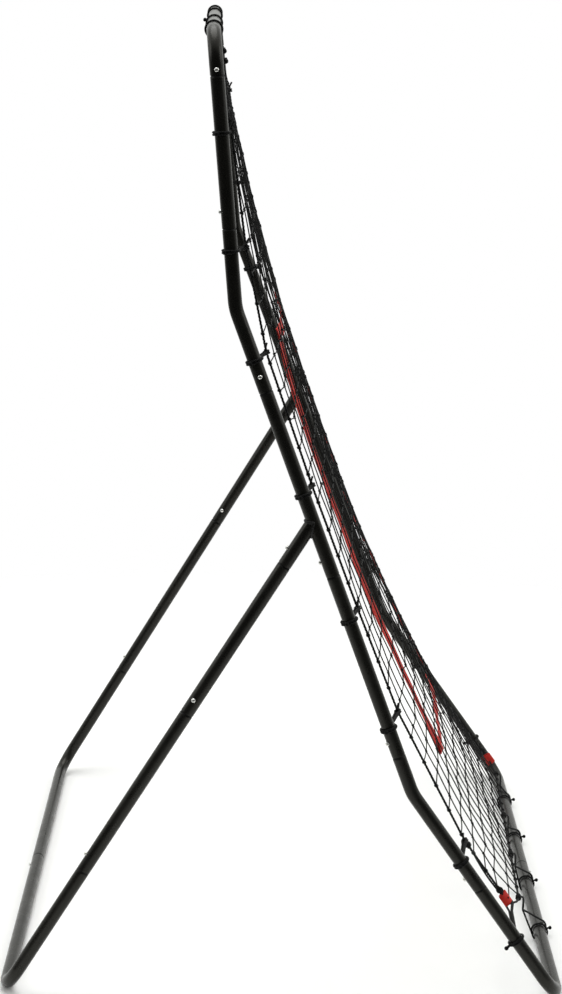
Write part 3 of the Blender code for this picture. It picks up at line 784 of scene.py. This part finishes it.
def build_frame(looks):
    """Every tube with its button holes, and the leg stubs. Gives the routes and the buttons' placements."""
    rear = Vector((0, 1, 0))
    routes, holes, spans, buttons = {}, {}, {}, []
    for side, sign in (("left", -1), ("right", 1)):
        outboard = Vector((sign, 0, 0))
        side_aims = (rear, outboard * 0.47 + rear * 0.88, rear, outboard, rear, outboard)
        leg_aims = (rear, Vector((-0.92, 0.39, 0)), rear)
        leg_joints = (LEG_LOWER_JOINT, LEG_UPPER_JOINTS[side], STUB_JOINT)
        kinds = (("side", SIDE_TUBES, SIDE_JOINTS, side_aims), ("leg", LEG_TUBES, leg_joints, leg_aims))
        routes[side] = (main_route(sign), leg_route(sign))
        for route, (kind, tubes, heights, aims) in zip(routes[side], kinds):
            joints = joint_list(route, heights)
            for name, span in zip(tubes, spans_of(route, joints, side, kind == "side")):
                spans[f"{name}_{side}"] = (route, span)
            for k, aim in enumerate(aims):
                place = button_place(route, joints[k][0], aim)
                buttons.append((f"button_{kind}_{k + 1}_{side}", place))
                for name in tubes[k:k + 2]:
                    holes.setdefault(f"{name}_{side}", []).append((place, joints[k][0]))
    main, leg = routes["left"]
    bars = (
        ("bottom_bar", main, CROSSBAR_START, -rear),
        ("top_bar", main, main.length - CROSSBAR_START, rear),
        ("base_bar", leg, CROSSBAR_START, rear),
    )
    for name, route, station, aim in bars:
        place = button_place(route, station, aim)
        buttons.append((f"button_{name}", place))
        for side in ("left", "right"):
            holes[f"{name}_{side}"].append((place, station))
    for name, (route, (start, end, spigots)) in spans.items():
        marks = [station for _, station in holes[name]]
        cut_tube("fine_" + name, tube_mesh(route, start, end, spigots, marks), holes[name], looks, name)
    for side, (_, leg) in routes.items():
        button = leg.at_height(STUB_JOINT)
        middle = f"middle_tube_{side}"
        place = [holes[middle].pop()]
        stub = tube_mesh(leg, button - JOINT_REACH[0], leg.length, (0.0, 0.0), [button])
        cut_tube("leg_stub_" + side, stub, place, looks, middle)
    return routes, buttons


def cut_tube(name, mesh, holes, looks, node):
    """Builds one tube, cuts its button holes, and shows it for its CAD node."""
    piece = face_outwards(mesh.build(name, looks, crease=CREASE))
    carve(piece, [hole_cutter(f"cut_{k}", place, looks) for k, (place, _) in enumerate(holes)])
    piece.data.shade_smooth()
    piece.data.set_sharp_from_angle(angle=math.radians(CREASE))
    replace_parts(piece, node)


def weld_bead(sign, material):
    """The bead round the foot of a leg stub, along the line where the two tubes meet."""
    main, leg = main_route(sign), leg_route(sign)
    joint = leg_joint(sign)
    down_leg = -leg.directions[-1]
    up_tube = main.frame(main.at_height(LEG_JOINT_HEIGHT))[1]
    across = (up_tube - down_leg * up_tube.dot(down_leg)).normalized()
    outboard = Vector((1, 0, 0))
    c, k = down_leg.dot(up_tube), across.dot(up_tube)
    points, radii = [], []
    steps = 120
    for i in range(steps):
        turn = 2 * math.pi * i / steps
        reach = TUBE_RADIUS * math.cos(turn) * k
        distance = max(reach / (1 - c), -reach / (1 + c))
        round_stub = across * math.cos(turn) + outboard * math.sin(turn)
        points.append(joint + down_leg * distance + round_stub * (TUBE_RADIUS + 0.0002))
        ripple = 0.00025 * math.sin(i * math.pi / 1.5) + 0.0002 * noise.noise(points[-1] * 160)
        radii.append(WELD_RADIUS + ripple)
    mesh = Mesh()
    mesh.sweep(points, radii, 10, closed=True)
    side = "left" if sign < 0 else "right"
    mesh.build(f"leg_weld_{side}", [material], slot="powder_coated_steel", crease=80)


def add_buttons(buttons, material):
    """Domed spring buttons, each on its own body."""
    stem = BUTTON_RADIUS
    profile = [(BUTTON_FLANGE, BUTTON_FOOT), (BUTTON_FLANGE, 0.0071), (stem + 0.0001, 0.0073), (stem, 0.0080)]
    profile.append((stem, BUTTON_RIM))
    for k in range(1, 8):
        tilt = math.pi / 2 * k / 8
        profile.append((stem * math.cos(tilt), BUTTON_RIM + BUTTON_DOME * math.sin(tilt)))
    for name, place in buttons:
        mesh = Mesh()
        mesh.lathe(place, BUTTON_FOOT, profile, BUTTON_RIM + BUTTON_DOME, 28)
        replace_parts(mesh.build("fine_" + name, [material], name, "zinc_plated_steel", 35), name)


# ---------------------------------------------------------------- net, rope and ties

def tie_frame(route, sign, height):
    """(axis point, tube direction, forward, inboard) at this height on a side tube."""
    point, direction, _ = route.frame(route.at_height(height))
    inboard = Vector((-sign, 0, 0))
    forward = direction.cross(inboard).normalized()
    if forward.y > 0:
        forward.negate()
    return point, direction, forward, inboard


def held_rope_points(route, sign):
    side = "left" if sign < 0 else "right"
    points = []
    for height, ahead, inset in (*TIES, LOWEST_TIES[side], ROPE_FEET[side]):
        point, _, forward, inboard = tie_frame(route, sign, height)
        points.append(point + forward * ahead + inboard * inset)
    return points


def rope_outline(routes):
    """The closed border of the net, with rounded corners and a bottom edge drawn down by the bar's ties."""
    left = held_rope_points(routes["left"][0], -1)
    right = held_rope_points(routes["right"][0], 1)
    down = left[-1] - left[-2]
    pull = Vector((0, down.y, down.z)).normalized()
    bottom = []
    for _, x in FRONT_TIES[::-1]:
        share = (x - left[-1].x) / (right[-1].x - left[-1].x)
        bottom.append(left[-1].lerp(right[-1], share) + pull * BOTTOM_PULL)
    corner_left, corner_right = rope_top_corner(-1), rope_top_corner(1)
    top = []
    for x in TOP_TIES:
        share = (x - corner_left.x) / (corner_right.x - corner_left.x)
        top.append(corner_left.lerp(corner_right, share) + UP * TOP_PULL)
    loop = [corner_left, *left, *bottom, *right[::-1], corner_right, *top]
    corners = {0, len(left), len(left) + 1 + len(bottom), len(loop) - 1 - len(top)}
    points = []
    for k, here in enumerate(loop):
        before, after = loop[k - 1], loop[(k + 1) % len(loop)]
        if k in corners:
            points += round_corner(before, here, after, ROPE_CORNER_RADIUS, 6)
        else:
            points.append(here)
    return points


def add_rope(outline, material):
    """Strands laid up round the border. Their turns are evened out so that the rope meets itself."""
    line = evenly(smooth_line(evenly(outline, 0.02), 2, closed=True), 0.0035)
    frames = frames_along(line, True)
    turns = round(length_of(line + line[:1]) / ROPE_PITCH)
    whole = 2 * math.pi * turns + closing_turn(frames)
    offset = ROPE_RADIUS * 0.52
    mesh = Mesh()
    for strand in range(ROPE_STRANDS):
        path = []
        for k, (point, forward, normal) in enumerate(frames):
            angle = whole * k / len(line) + 2 * math.pi * strand / ROPE_STRANDS
            path.append(point + spoke(normal, forward, angle) * offset)
        mesh.sweep(path, ROPE_RADIUS - offset, 7, closed=True)
    rope = mesh.build("border_rope", [material], slot="black_net_cord", crease=80)
    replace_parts(rope, "net_border_rope")
    return line


def shorter_way(outline, start, end):
    """The outline between its points nearest to these two, the short way round."""
    count = len(outline)
    a, b = [min(range(count), key=lambda k: (outline[k] - place).length) for place in (start, end)]
    one = [outline[(a + k) % count] for k in range((b - a) % count + 1)]
    two = [outline[(a - k) % count] for k in range((a - b) % count + 1)]
    return min((one, two), key=length_of)


def net_points(outline):
    """Knot places by row and column, as a sheet in even tension inside its border."""
    top_left, top_right = rope_top_corner(-1), rope_top_corner(1)
    foot_left = min(outline, key=lambda p: p.x * 0.6 + p.z * 4)
    foot_right = min(outline, key=lambda p: -p.x * 0.6 + p.z * 4)
    left = shorter_way(outline, top_left, foot_left)
    right = shorter_way(outline, top_right, foot_right)
    top = shorter_way(outline, top_left, top_right)
    bottom = shorter_way(outline, foot_left, foot_right)
    grid = np.zeros((NET_ROWS + 1, NET_COLUMNS + 1, 3))
    for row in range(NET_ROWS + 1):
        grid[row, 0] = along(left, row / NET_ROWS)
        grid[row, -1] = along(right, row / NET_ROWS)
    for column in range(NET_COLUMNS + 1):
        grid[0, column] = along(top, column / NET_COLUMNS)
        grid[-1, column] = along(bottom, column / NET_COLUMNS)
    share = np.linspace(0, 1, NET_COLUMNS + 1)[1:-1, None]
    for row in range(1, NET_ROWS):
        grid[row, 1:-1] = grid[row, 0] * (1 - share) + grid[row, -1] * share
    for _ in range(RELAXING_ROUNDS):
        inner = grid[:-2, 1:-1] + grid[2:, 1:-1] + grid[1:-1, :-2] + grid[1:-1, 2:]
        grid[1:-1, 1:-1] = inner / 4
    return grid


def unevenness(grid):
    """Small shifts of each knot, most of them within the net, and slow waves across it."""
    normal = normals_of(grid)
    moved = grid.copy()
    for row in range(1, NET_ROWS):
        for column in range(1, NET_COLUMNS):
            slide = Vector(grid[row, column])
            wave = noise.noise(slide * 4.5) * 0.005 + noise.noise(slide * 17) * 0.0022
            moved[row, column] += normal[row, column] * wave
            moved[row, column] += np.array((dice.gauss(0, 0.0022), 0, 0))
            down = grid[row + 1, column] - grid[row - 1, column]
            moved[row, column] += down / np.linalg.norm(down) * dice.gauss(0, 0.0042)
    return moved


def normals_of(grid):
    normal = np.cross(np.gradient(grid, axis=0), np.gradient(grid, axis=1))
    normal /= np.linalg.norm(normal, axis=2, keepdims=True)
    return normal if normal[5, 5, 1] < 0 else -normal


def cord_run(knots, slack):
    """A cord through its knots, bowed a little between each two."""
    points = []
    for a, b in zip(knots, knots[1:]):
        lean = Vector((dice.gauss(0, 1), dice.gauss(0, 1), -1.2)).normalized() * abs(dice.gauss(0, slack))
        points += [a, a.lerp(b, 0.3) + lean * 0.8, a.lerp(b, 0.5) + lean, a.lerp(b, 0.7) + lean * 0.8]
    return points + [knots[-1]]


def knot_line(centre, down, across, out, size):
    """A small overhand form round a crossing."""
    points = []
    for k in range(18):
        t = 2 * math.pi * k / 18
        u = math.sin(t) + 2 * math.sin(2 * t)
        v = math.cos(t) - 2 * math.cos(2 * t)
        w = -math.sin(3 * t)
        points.append(centre + (across * u * 0.34 + down * v * 0.42 + out * w * 0.62) * size)
    return points


def add_net(grid, material):
    """All cords and knots of the square knotted net, as one piece."""
    mesh = Mesh()
    places = [[Vector(p) for p in row] for row in grid]
    normal = normals_of(grid)
    for column in range(1, NET_COLUMNS):
        mesh.sweep(cord_run([row[column] for row in places], 0.0007), CORD_RADIUS, 6)
    for row in range(1, NET_ROWS):
        mesh.sweep(cord_run(places[row], 0.0009), CORD_RADIUS, 6)
    for row in range(1, NET_ROWS):
        for column in range(1, NET_COLUMNS):
            down = (places[row + 1][column] - places[row - 1][column]).normalized()
            out = Vector(normal[row, column])
            down = Matrix.Rotation(dice.uniform(-0.5, 0.5), 3, out) @ down
            size = KNOT_SIZE * dice.uniform(0.9, 1.2)
            line = knot_line(places[row][column], down, out.cross(down), out, size)
            mesh.sweep(line, CORD_RADIUS * 0.9, 5, closed=True)
    net = mesh.build("net_cords", [material], slot="black_net_cord", crease=80)
    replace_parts(net, "net_panel")


def add_lashings(grid, rope_line, material):
    """Where each net cord ends, two turns round the border rope with a small knot."""
    mesh = Mesh()
    ends = [(row, c) for row in range(1, NET_ROWS) for c in (0, NET_COLUMNS)]
    ends += [(r, column) for column in range(1, NET_COLUMNS) for r in (0, NET_ROWS)]
    normal = normals_of(grid)
    count = len(rope_line)
    for row, column in ends:
        centre = Vector(grid[row, column])
        k = min(range(count), key=lambda i: (rope_line[i] - centre).length_squared)
        forward = (rope_line[(k + 1) % count] - rope_line[k - 1]).normalized()
        turns = wrap_line(rope_line[k], forward, ROPE_RADIUS + CORD_RADIUS * 0.3, 2, 0.0045, 12)
        mesh.sweep(turns, CORD_RADIUS, 5)
        out = Vector(normal[row, column])
        inner = Vector(grid[min(max(row, 1), NET_ROWS - 1), min(max(column, 1), NET_COLUMNS - 1)])
        inwards = (inner - centre).normalized()
        place = centre + inwards * (ROPE_RADIUS + 0.0016)
        line = knot_line(place, inwards, out.cross(inwards), out, EDGE_KNOT_SIZE)
        mesh.sweep(line, CORD_RADIUS * 0.9, 5, closed=True)
    mesh.build("net_edge_lashings", [material], slot="black_net_cord", crease=80)


def hitch(near_radius, far_centre, far_radius):
    """(u, v) points of a loop choked round the circle at (0, 0), its two strands run to the far circle."""
    reach = math.hypot(*far_centre)
    heading = math.atan2(far_centre[1], far_centre[0])
    pinch = near_radius + PINCH
    spread = math.acos((near_radius - STRAND_SPREAD) / pinch)
    flat = []
    for k in range(CHOKE_STEPS + 1):
        angle = spread + (2 * math.pi - 2 * spread) * k / CHOKE_STEPS
        flat.append((near_radius * math.cos(angle), near_radius * math.sin(angle)))
    run = [pinch + (reach - pinch) * k / 4 for k in range(4)]
    flat += [(u, -STRAND_SPREAD) for u in run]
    for k in range(HOOK_STEPS + 1):
        angle = -math.pi / 2 + math.pi * k / HOOK_STEPS
        flat.append((reach + far_radius * math.cos(angle), far_radius * math.sin(angle)))
    flat += [(u, STRAND_SPREAD) for u in run[::-1]]
    turned = complex(math.cos(heading), math.sin(heading))
    spun = [complex(u, v) * turned for u, v in flat]
    return [(z.real, z.imag) for z in spun]


def add_side_tie(number, side, sign, route, materials):
    """Two turns of elastic choked round the tube and run to the rope, with a ball and a tail."""
    lowest = number > len(TIES)
    height, ahead, inset = LOWEST_TIES[side] if lowest else TIES[number - 1]
    point, direction, forward, inboard = tie_frame(route, sign, height)
    around_tube = TUBE_RADIUS + TIE_CLEARANCE + TIE_RADIUS
    around_rope = ROPE_RADIUS + TIE_RADIUS + (LOWEST_CLEARANCE if lowest else TIE_CLEARANCE)
    flat = hitch(around_tube, (ahead, inset), around_rope)
    count = len(flat)
    line = []
    for k in range(2 * count):
        u, v = flat[k % count]
        spread = TURN_SPREAD * max(-0.5, min(0.5, math.cos(math.pi * k / count)))
        line.append(point + forward * u + inboard * v + direction * spread)
    mesh = Mesh()
    mesh.sweep(line, TIE_RADIUS, 8, closed=True)
    u, v = (-0.9, -0.4) if lowest else flat[CHOKE_STEPS // 2]
    back = (forward * u + inboard * v).normalized()
    stand = TUBE_RADIUS + (LOWEST_STAND if lowest else KNOB_STAND)
    mesh.knob(point, back, TUBE_RADIUS + 0.0006, stand, KNOB_RADIUS, 0.0026)
    towards = (forward * 0.35 + direction * 0.95 - inboard * 0.25).normalized()
    root = point + forward * ahead + inboard * (inset - around_rope * 0.8) + direction * 0.004
    bends = ((0, 0), (0.005, 0), (0.010, 0.0008), (0.0145, 0.0022))
    tail = [root + towards * reach + forward * lift for reach, lift in bends]
    mesh.sweep(smooth_line(tail, 3), TIE_RADIUS * 0.95, 8)
    mesh.ball(pointing(root + towards * 0.001, towards), 0.0034, 10, 7)
    tie = mesh.build(f"elastic_tie_{number}_{side}", materials, slot="black_elastic", crease=80)
    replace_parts(tie, f"net_tie_{number}_{side}")


def bar_point(corner, x):
    """The crossbar's axis at this X, from its left corner."""
    left, right = side_point(-1, corner), side_point(1, corner)
    return left.lerp(right, (x - left.x) / (right.x - left.x))


def add_bar_tie(name, axis, knots, hangs, turns, spans, ball, materials):
    """Elastic from the border rope, run as two strands, wound round a crossbar and held by its ball.

    Knots are its two ends on the rope, hangs the points that both strands pass on their way down, spans how
    far along X from the axis point it meets and leaves the bar, and ball its (direction, stand, X) there.
    """
    reach = TUBE_RADIUS + TIE_CLEARANCE + TIE_RADIUS
    last = hangs[-1] - axis
    heading = math.atan2(last.z, last.y)
    spread = math.acos(reach / math.hypot(last.y, last.z))
    total = 2 * math.pi * turns - 2 * spread
    steps = 26 * turns
    wraps, radii = [], []
    for k in range(steps + 1):
        angle = heading + spread + total * k / steps
        x = spans[0] + (spans[1] - spans[0]) * k / steps
        place = axis + Vector((x, reach * math.cos(angle), reach * math.sin(angle)))
        # The bar lies on the ground, so a turn under it is squeezed flat.
        flat = max(0.0, 0.0024 - place.z)
        wraps.append(place + UP * flat)
        radii.append(TIE_RADIUS - min(flat, 0.0011))
    apart = Vector((TIE_RADIUS * 1.05, 0, 0))
    down = smooth_line([knots[0], *[h + apart for h in hangs]], 6)[:-1]
    up = smooth_line([*[h - apart for h in hangs[::-1]], knots[1]], 6)[1:]
    start = down + evenly([hangs[-1] + apart, wraps[0]], 0.006, closed=False)[:-1]
    finish = evenly([wraps[-1], hangs[-1] - apart], 0.006, closed=False)[1:] + up
    line = start + wraps + finish
    radii = [TIE_RADIUS] * len(start) + radii + [TIE_RADIUS] * len(finish)
    mesh = Mesh()
    mesh.sweep(line, radii, 8)
    for place in knots:
        turns_on_rope = wrap_line(place, Vector((1, 0, 0)), ROPE_RADIUS + TIE_RADIUS * 0.8, 1.6, 0.005)
        mesh.sweep(turns_on_rope, TIE_RADIUS * 0.9, 8)
    way, stand, x = ball
    root = axis + Vector((x, 0, 0))
    foot = TUBE_RADIUS + 0.0006
    mesh.knob(root, way.normalized(), foot, TUBE_RADIUS + stand, KNOB_RADIUS * 0.9, 0.0019)
    mesh.build(name, materials, slot="black_elastic", crease=80)


def wrap_line(centre, axis, reach, turns, advance, per_turn=14):
    """A short helix round the axis, centred here."""
    arm = axis.orthogonal().normalized()
    steps = int(turns * per_turn)
    points = []
    for k in range(steps + 1):
        lift = axis * advance * (k / steps - 0.5)
        points.append(centre + lift + spoke(arm, axis, 2 * math.pi * turns * k / steps) * reach)
    return points


def nearest_rope(rope_line, x, bottom):
    """The rope's point at this X, on its bottom or top edge."""
    edge = [p for p in rope_line if (p.z < 0.3) == bottom and abs(p.x - x) < 0.02 and (bottom or p.z > 1.7)]
    return min(edge, key=lambda p: abs(p.x - x))


def add_bar_ties(rope_line, materials):
    for k, (bar_x, rope_x) in enumerate(FRONT_TIES, start=1):
        knots = [nearest_rope(rope_line, rope_x + d, True) for d in (-0.004, 0.004)]
        knot = (knots[0] + knots[1]) / 2
        hangs = [knot + Vector(shift) for shift in FRONT_HANG]
        axis = bar_point(FRONT_CORNER, bar_x)
        ball = (Vector((0, -0.97, 0.20)), 0.0095, -0.012)
        add_bar_tie(f"front_bar_tie_{k}", axis, knots, hangs, 2, (0.006, -0.036), ball, materials)
    for k, bar_x in enumerate(TOP_TIES, start=1):
        knots = [nearest_rope(rope_line, bar_x + d, False) for d in (-0.003, 0.003)]
        hangs = [(knots[0] + knots[1]) / 2 + UP * 0.008]
        axis = bar_point(TOP_CORNER, bar_x)
        way = Vector((0, 0.93, 0.30)) if k == 3 else Vector((0, 0.35, -0.9))
        ball = (way, KNOB_STAND, 0.002)
        add_bar_tie(f"top_bar_tie_{k}", axis, knots, hangs, 3, (0.0043, -0.0043), ball, materials)


def add_rope_knots(rope_line, materials):
    """The border rope's two knotted ends, which stand off it by the top right corner."""
    mesh = Mesh()
    for place in ROPE_KNOTS:
        end = Vector(place)
        root = min(rope_line, key=lambda p: (p - end).length)
        way = (end - root).normalized()
        mesh.sweep([root, end], ROPE_RADIUS, 10)
        mesh.ball(pointing(end, way), ROPE_RADIUS * 2.0, 14, 9)
        turns = wrap_line(end, way, ROPE_RADIUS * 1.9, 2.2, ROPE_RADIUS * 2.4)
        mesh.sweep(turns, ROPE_RADIUS * 0.9, 8)
    mesh.build("rope_knots", materials, slot="black_elastic", crease=80)


def add_corner_lashings(outline_sides, materials):
    """The spare elastic wound down the rope from the seventh tie towards each lower corner."""
    step = 0.004
    for side, points in outline_sides.items():
        mesh = Mesh()
        frames = frames_along(evenly(points, step, closed=False), False)
        path = []
        for k, (point, forward, normal) in enumerate(frames):
            arm = spoke(normal, forward, 2 * math.pi * k * step / LASHING_PITCH)
            path.append(point + arm * (ROPE_RADIUS + TIE_RADIUS * 0.9))
        mesh.sweep(path, TIE_RADIUS * 0.95, 8)
        for k in (3, len(path) - 4):
            point, forward, _ = frames[k]
            wraps = wrap_line(point, forward, ROPE_RADIUS + TIE_RADIUS * 1.3, 2.2, 0.008)
            mesh.sweep(wraps, TIE_RADIUS * 0.9, 8)
        mesh.build(f"corner_lashing_{side}", materials, slot="black_elastic", crease=80)


# ---------------------------------------------------------------- webbing

def on_grid(grid, row_share, column_share):
    r, c = row_share * (grid.shape[0] - 1), column_share * (grid.shape[1] - 1)
    r0, c0 = min(int(r), grid.shape[0] - 2), min(int(c), grid.shape[1] - 2)
    fr, fc = r - r0, c - c0
    top = grid[r0, c0] * (1 - fc) + grid[r0, c0 + 1] * fc
    low = grid[r0 + 1, c0] * (1 - fc) + grid[r0 + 1, c0 + 1] * fc
    return top * (1 - fr) + low * fr


def strap(mesh, centres, sides, outs):
    """A flat woven strap along its centres. Its section has rounded edges."""
    half = ((-0.5, 0.15), (-0.485, 0.42), (-0.44, 0.5), (0.44, 0.5), (0.485, 0.42), (0.5, 0.15))
    section = [(u * WEBBING_WIDTH, w * WEBBING_THICKNESS) for u, w in half]
    section += [(-u, -w) for u, w in section]
    points, run = [], [0.0]
    for a, b in zip(centres, centres[1:]):
        run.append(run[-1] + (b - a).length)
    for centre, side, out in zip(centres, sides, outs):
        points += [centre + side * u + out * w for u, w in section]
    shares = [u / WEBBING_WIDTH for u, _ in section + section[:1]]
    mesh.add(points, *quads(len(centres), shares, run, False))


def stitches(mesh, centres, sides, outs, across, lift):
    """A row of lockstitches, as short raised threads."""
    line = [c + s * across + o * lift for c, s, o in zip(centres, sides, outs)]
    total = length_of(line)
    for k in range(int(total / STITCH_PITCH)):
        a = along(line, (k + 0.14) * STITCH_PITCH / total)
        b = along(line, (k + 0.86) * STITCH_PITCH / total)
        out = outs[min(int(k * STITCH_PITCH / total * len(outs)), len(outs) - 1)]
        middle = (a + b) / 2 + out * 0.0003
        ends = [a - out * 0.0003, a.lerp(middle, 0.6), middle, b.lerp(middle, 0.6), b - out * 0.0003]
        mesh.sweep(ends, STITCH_RADIUS, 5)


def add_target(grid, materials):
    """Four lengths of webbing sewn to the back of the net and to each other at the corners."""
    normal = normals_of(grid)
    half_row = WEBBING_WIDTH / 2 / np.linalg.norm(np.diff(grid[:, NET_COLUMNS // 2], axis=0), axis=1).sum()
    half_column = WEBBING_WIDTH / 2 / np.linalg.norm(np.diff(grid[NET_ROWS // 2], axis=0), axis=1).sum()
    (top, bottom), (left, right) = TARGET_ROWS, TARGET_COLUMNS
    runs = (
        ("upright_left", (top, left + half_column), (bottom, left + half_column)),
        ("upright_right", (top, right - half_column), (bottom, right - half_column)),
        ("level_top", (top + half_row, left), (top + half_row, right)),
        ("level_bottom", (bottom - half_row, left), (bottom - half_row, right)),
    )
    straps = []
    for name, start, end in runs:
        centres, sides, outs = [], [], []
        steps = 72 if name.startswith("upright") else 44
        lift = TARGET_LIFTS.get(name, TARGET_LIFTS["level"])
        lean = LEFT_TWIST if name == "upright_left" else 0.0
        for k in range(steps + 1):
            share = [a + (b - a) * k / steps for a, b in zip(start, end)]
            out = Vector(on_grid(normal, *share)).normalized()
            point = Vector(on_grid(grid, *share))
            centres.append(point + out * (lift + 0.0005 * noise.noise(point * 30)))
            outs.append(out)
        for k, forward in enumerate(headings(centres)):
            side = forward.cross(outs[k]).normalized()
            twist = TARGET_TWIST * noise.noise(centres[k] * 7) + lean
            side = Matrix.Rotation(twist, 3, forward) @ side
            outs[k] = side.cross(forward).normalized()
            sides.append(side)
        mesh = Mesh()
        strap(mesh, centres, sides, outs)
        piece = mesh.build("target_" + name, [materials[0]], slot="red_webbing", crease=50)
        straps.append(piece)
        thread = Mesh()
        for edge in (-1, 1):
            across = edge * (WEBBING_WIDTH / 2 - STITCH_INSET)
            stitches(thread, centres, sides, outs, across, WEBBING_THICKNESS / 2)
        sewn = thread.build(f"stitching_{name}", [materials[1]], slot="red_webbing", crease=60)
    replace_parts(straps[0], "target_webbing")


def add_tabs(places, materials):
    """A short length of the red webbing closed round the rope by each lower corner."""
    steps = 24
    for side, (point, wide) in places.items():
        face = Vector((1, 0, 0))
        if side == "left":
            face = Matrix.Rotation(math.radians(TAB_TURN), 3, wide) @ face
        deep = wide.cross(face).normalized()
        centres = []
        for k in range(steps + 1):
            turn = 2 * math.pi * (k + 0.5) / (steps + 1)
            bulge = TAB_BULGE * abs(math.sin(turn)) ** 1.5 * math.copysign(1, math.sin(turn))
            bulge += 0.0009 * math.sin(turn)
            centres.append(point + deep * TAB_HALF * math.cos(turn) + face * bulge)
        outs = [wide.cross(forward).normalized() for forward in headings(centres)]
        mesh = Mesh()
        strap(mesh, centres, [wide] * (steps + 1), outs)
        piece = mesh.build(f"corner_tab_{side}", [materials[0]], slot="red_webbing", crease=50)


# ---------------------------------------------------------------- the whole

def main():
    place_camera()
    light_the_stage()
    add_floor()
    coat, lip, weld, zinc = coat_material(), lip_material(), weld_material(), zinc_material()
    cord = cord_material("net_cord", (0.0035, 0.0035, 0.0035), 3, 420, 0.015)
    rope = cord_material("rope_strand", (0.0045, 0.0045, 0.0042), 4, 260, 0.02)
    elastic = cord_material("elastic_braid", (0.0045, 0.0045, 0.0045), 6, 330, 0.02)
    knob = cord_material("knob_plastic", (0.004, 0.004, 0.004), 2, 0.0, 0.0)
    red = [webbing_material(), thread_material()]
    routes, buttons = build_frame([coat, lip])
    add_buttons(buttons, zinc)
    outline = rope_outline(routes)
    rope_line = add_rope(outline, rope)
    grid = unevenness(net_points(outline))
    add_net(grid, cord)
    add_lashings(grid, rope_line, cord)
    feet, lower_sides = {}, {}
    for side, sign in (("left", -1), ("right", 1)):
        weld_bead(sign, weld)
        route = routes[side][0]
        for number in range(1, len(TIES) + 2):
            add_side_tie(number, side, sign, route, [elastic, knob])
        *_, seventh, lowest, foot = held_rope_points(route, sign)
        lower_sides[side] = [seventh, seventh.lerp(lowest, LASHING_SHARE)]
        middle = lowest.lerp(seventh, 0.09) if side == "left" else lowest.lerp(foot, 0.55)
        feet[side] = (middle, tie_frame(route, sign, TAB_HEIGHT)[1])
    add_bar_ties(rope_line, [elastic, knob])
    add_rope_knots(rope_line, [elastic])
    add_corner_lashings(lower_sides, [elastic])
    add_target(grid, red)
    add_tabs(feet, red)


main()
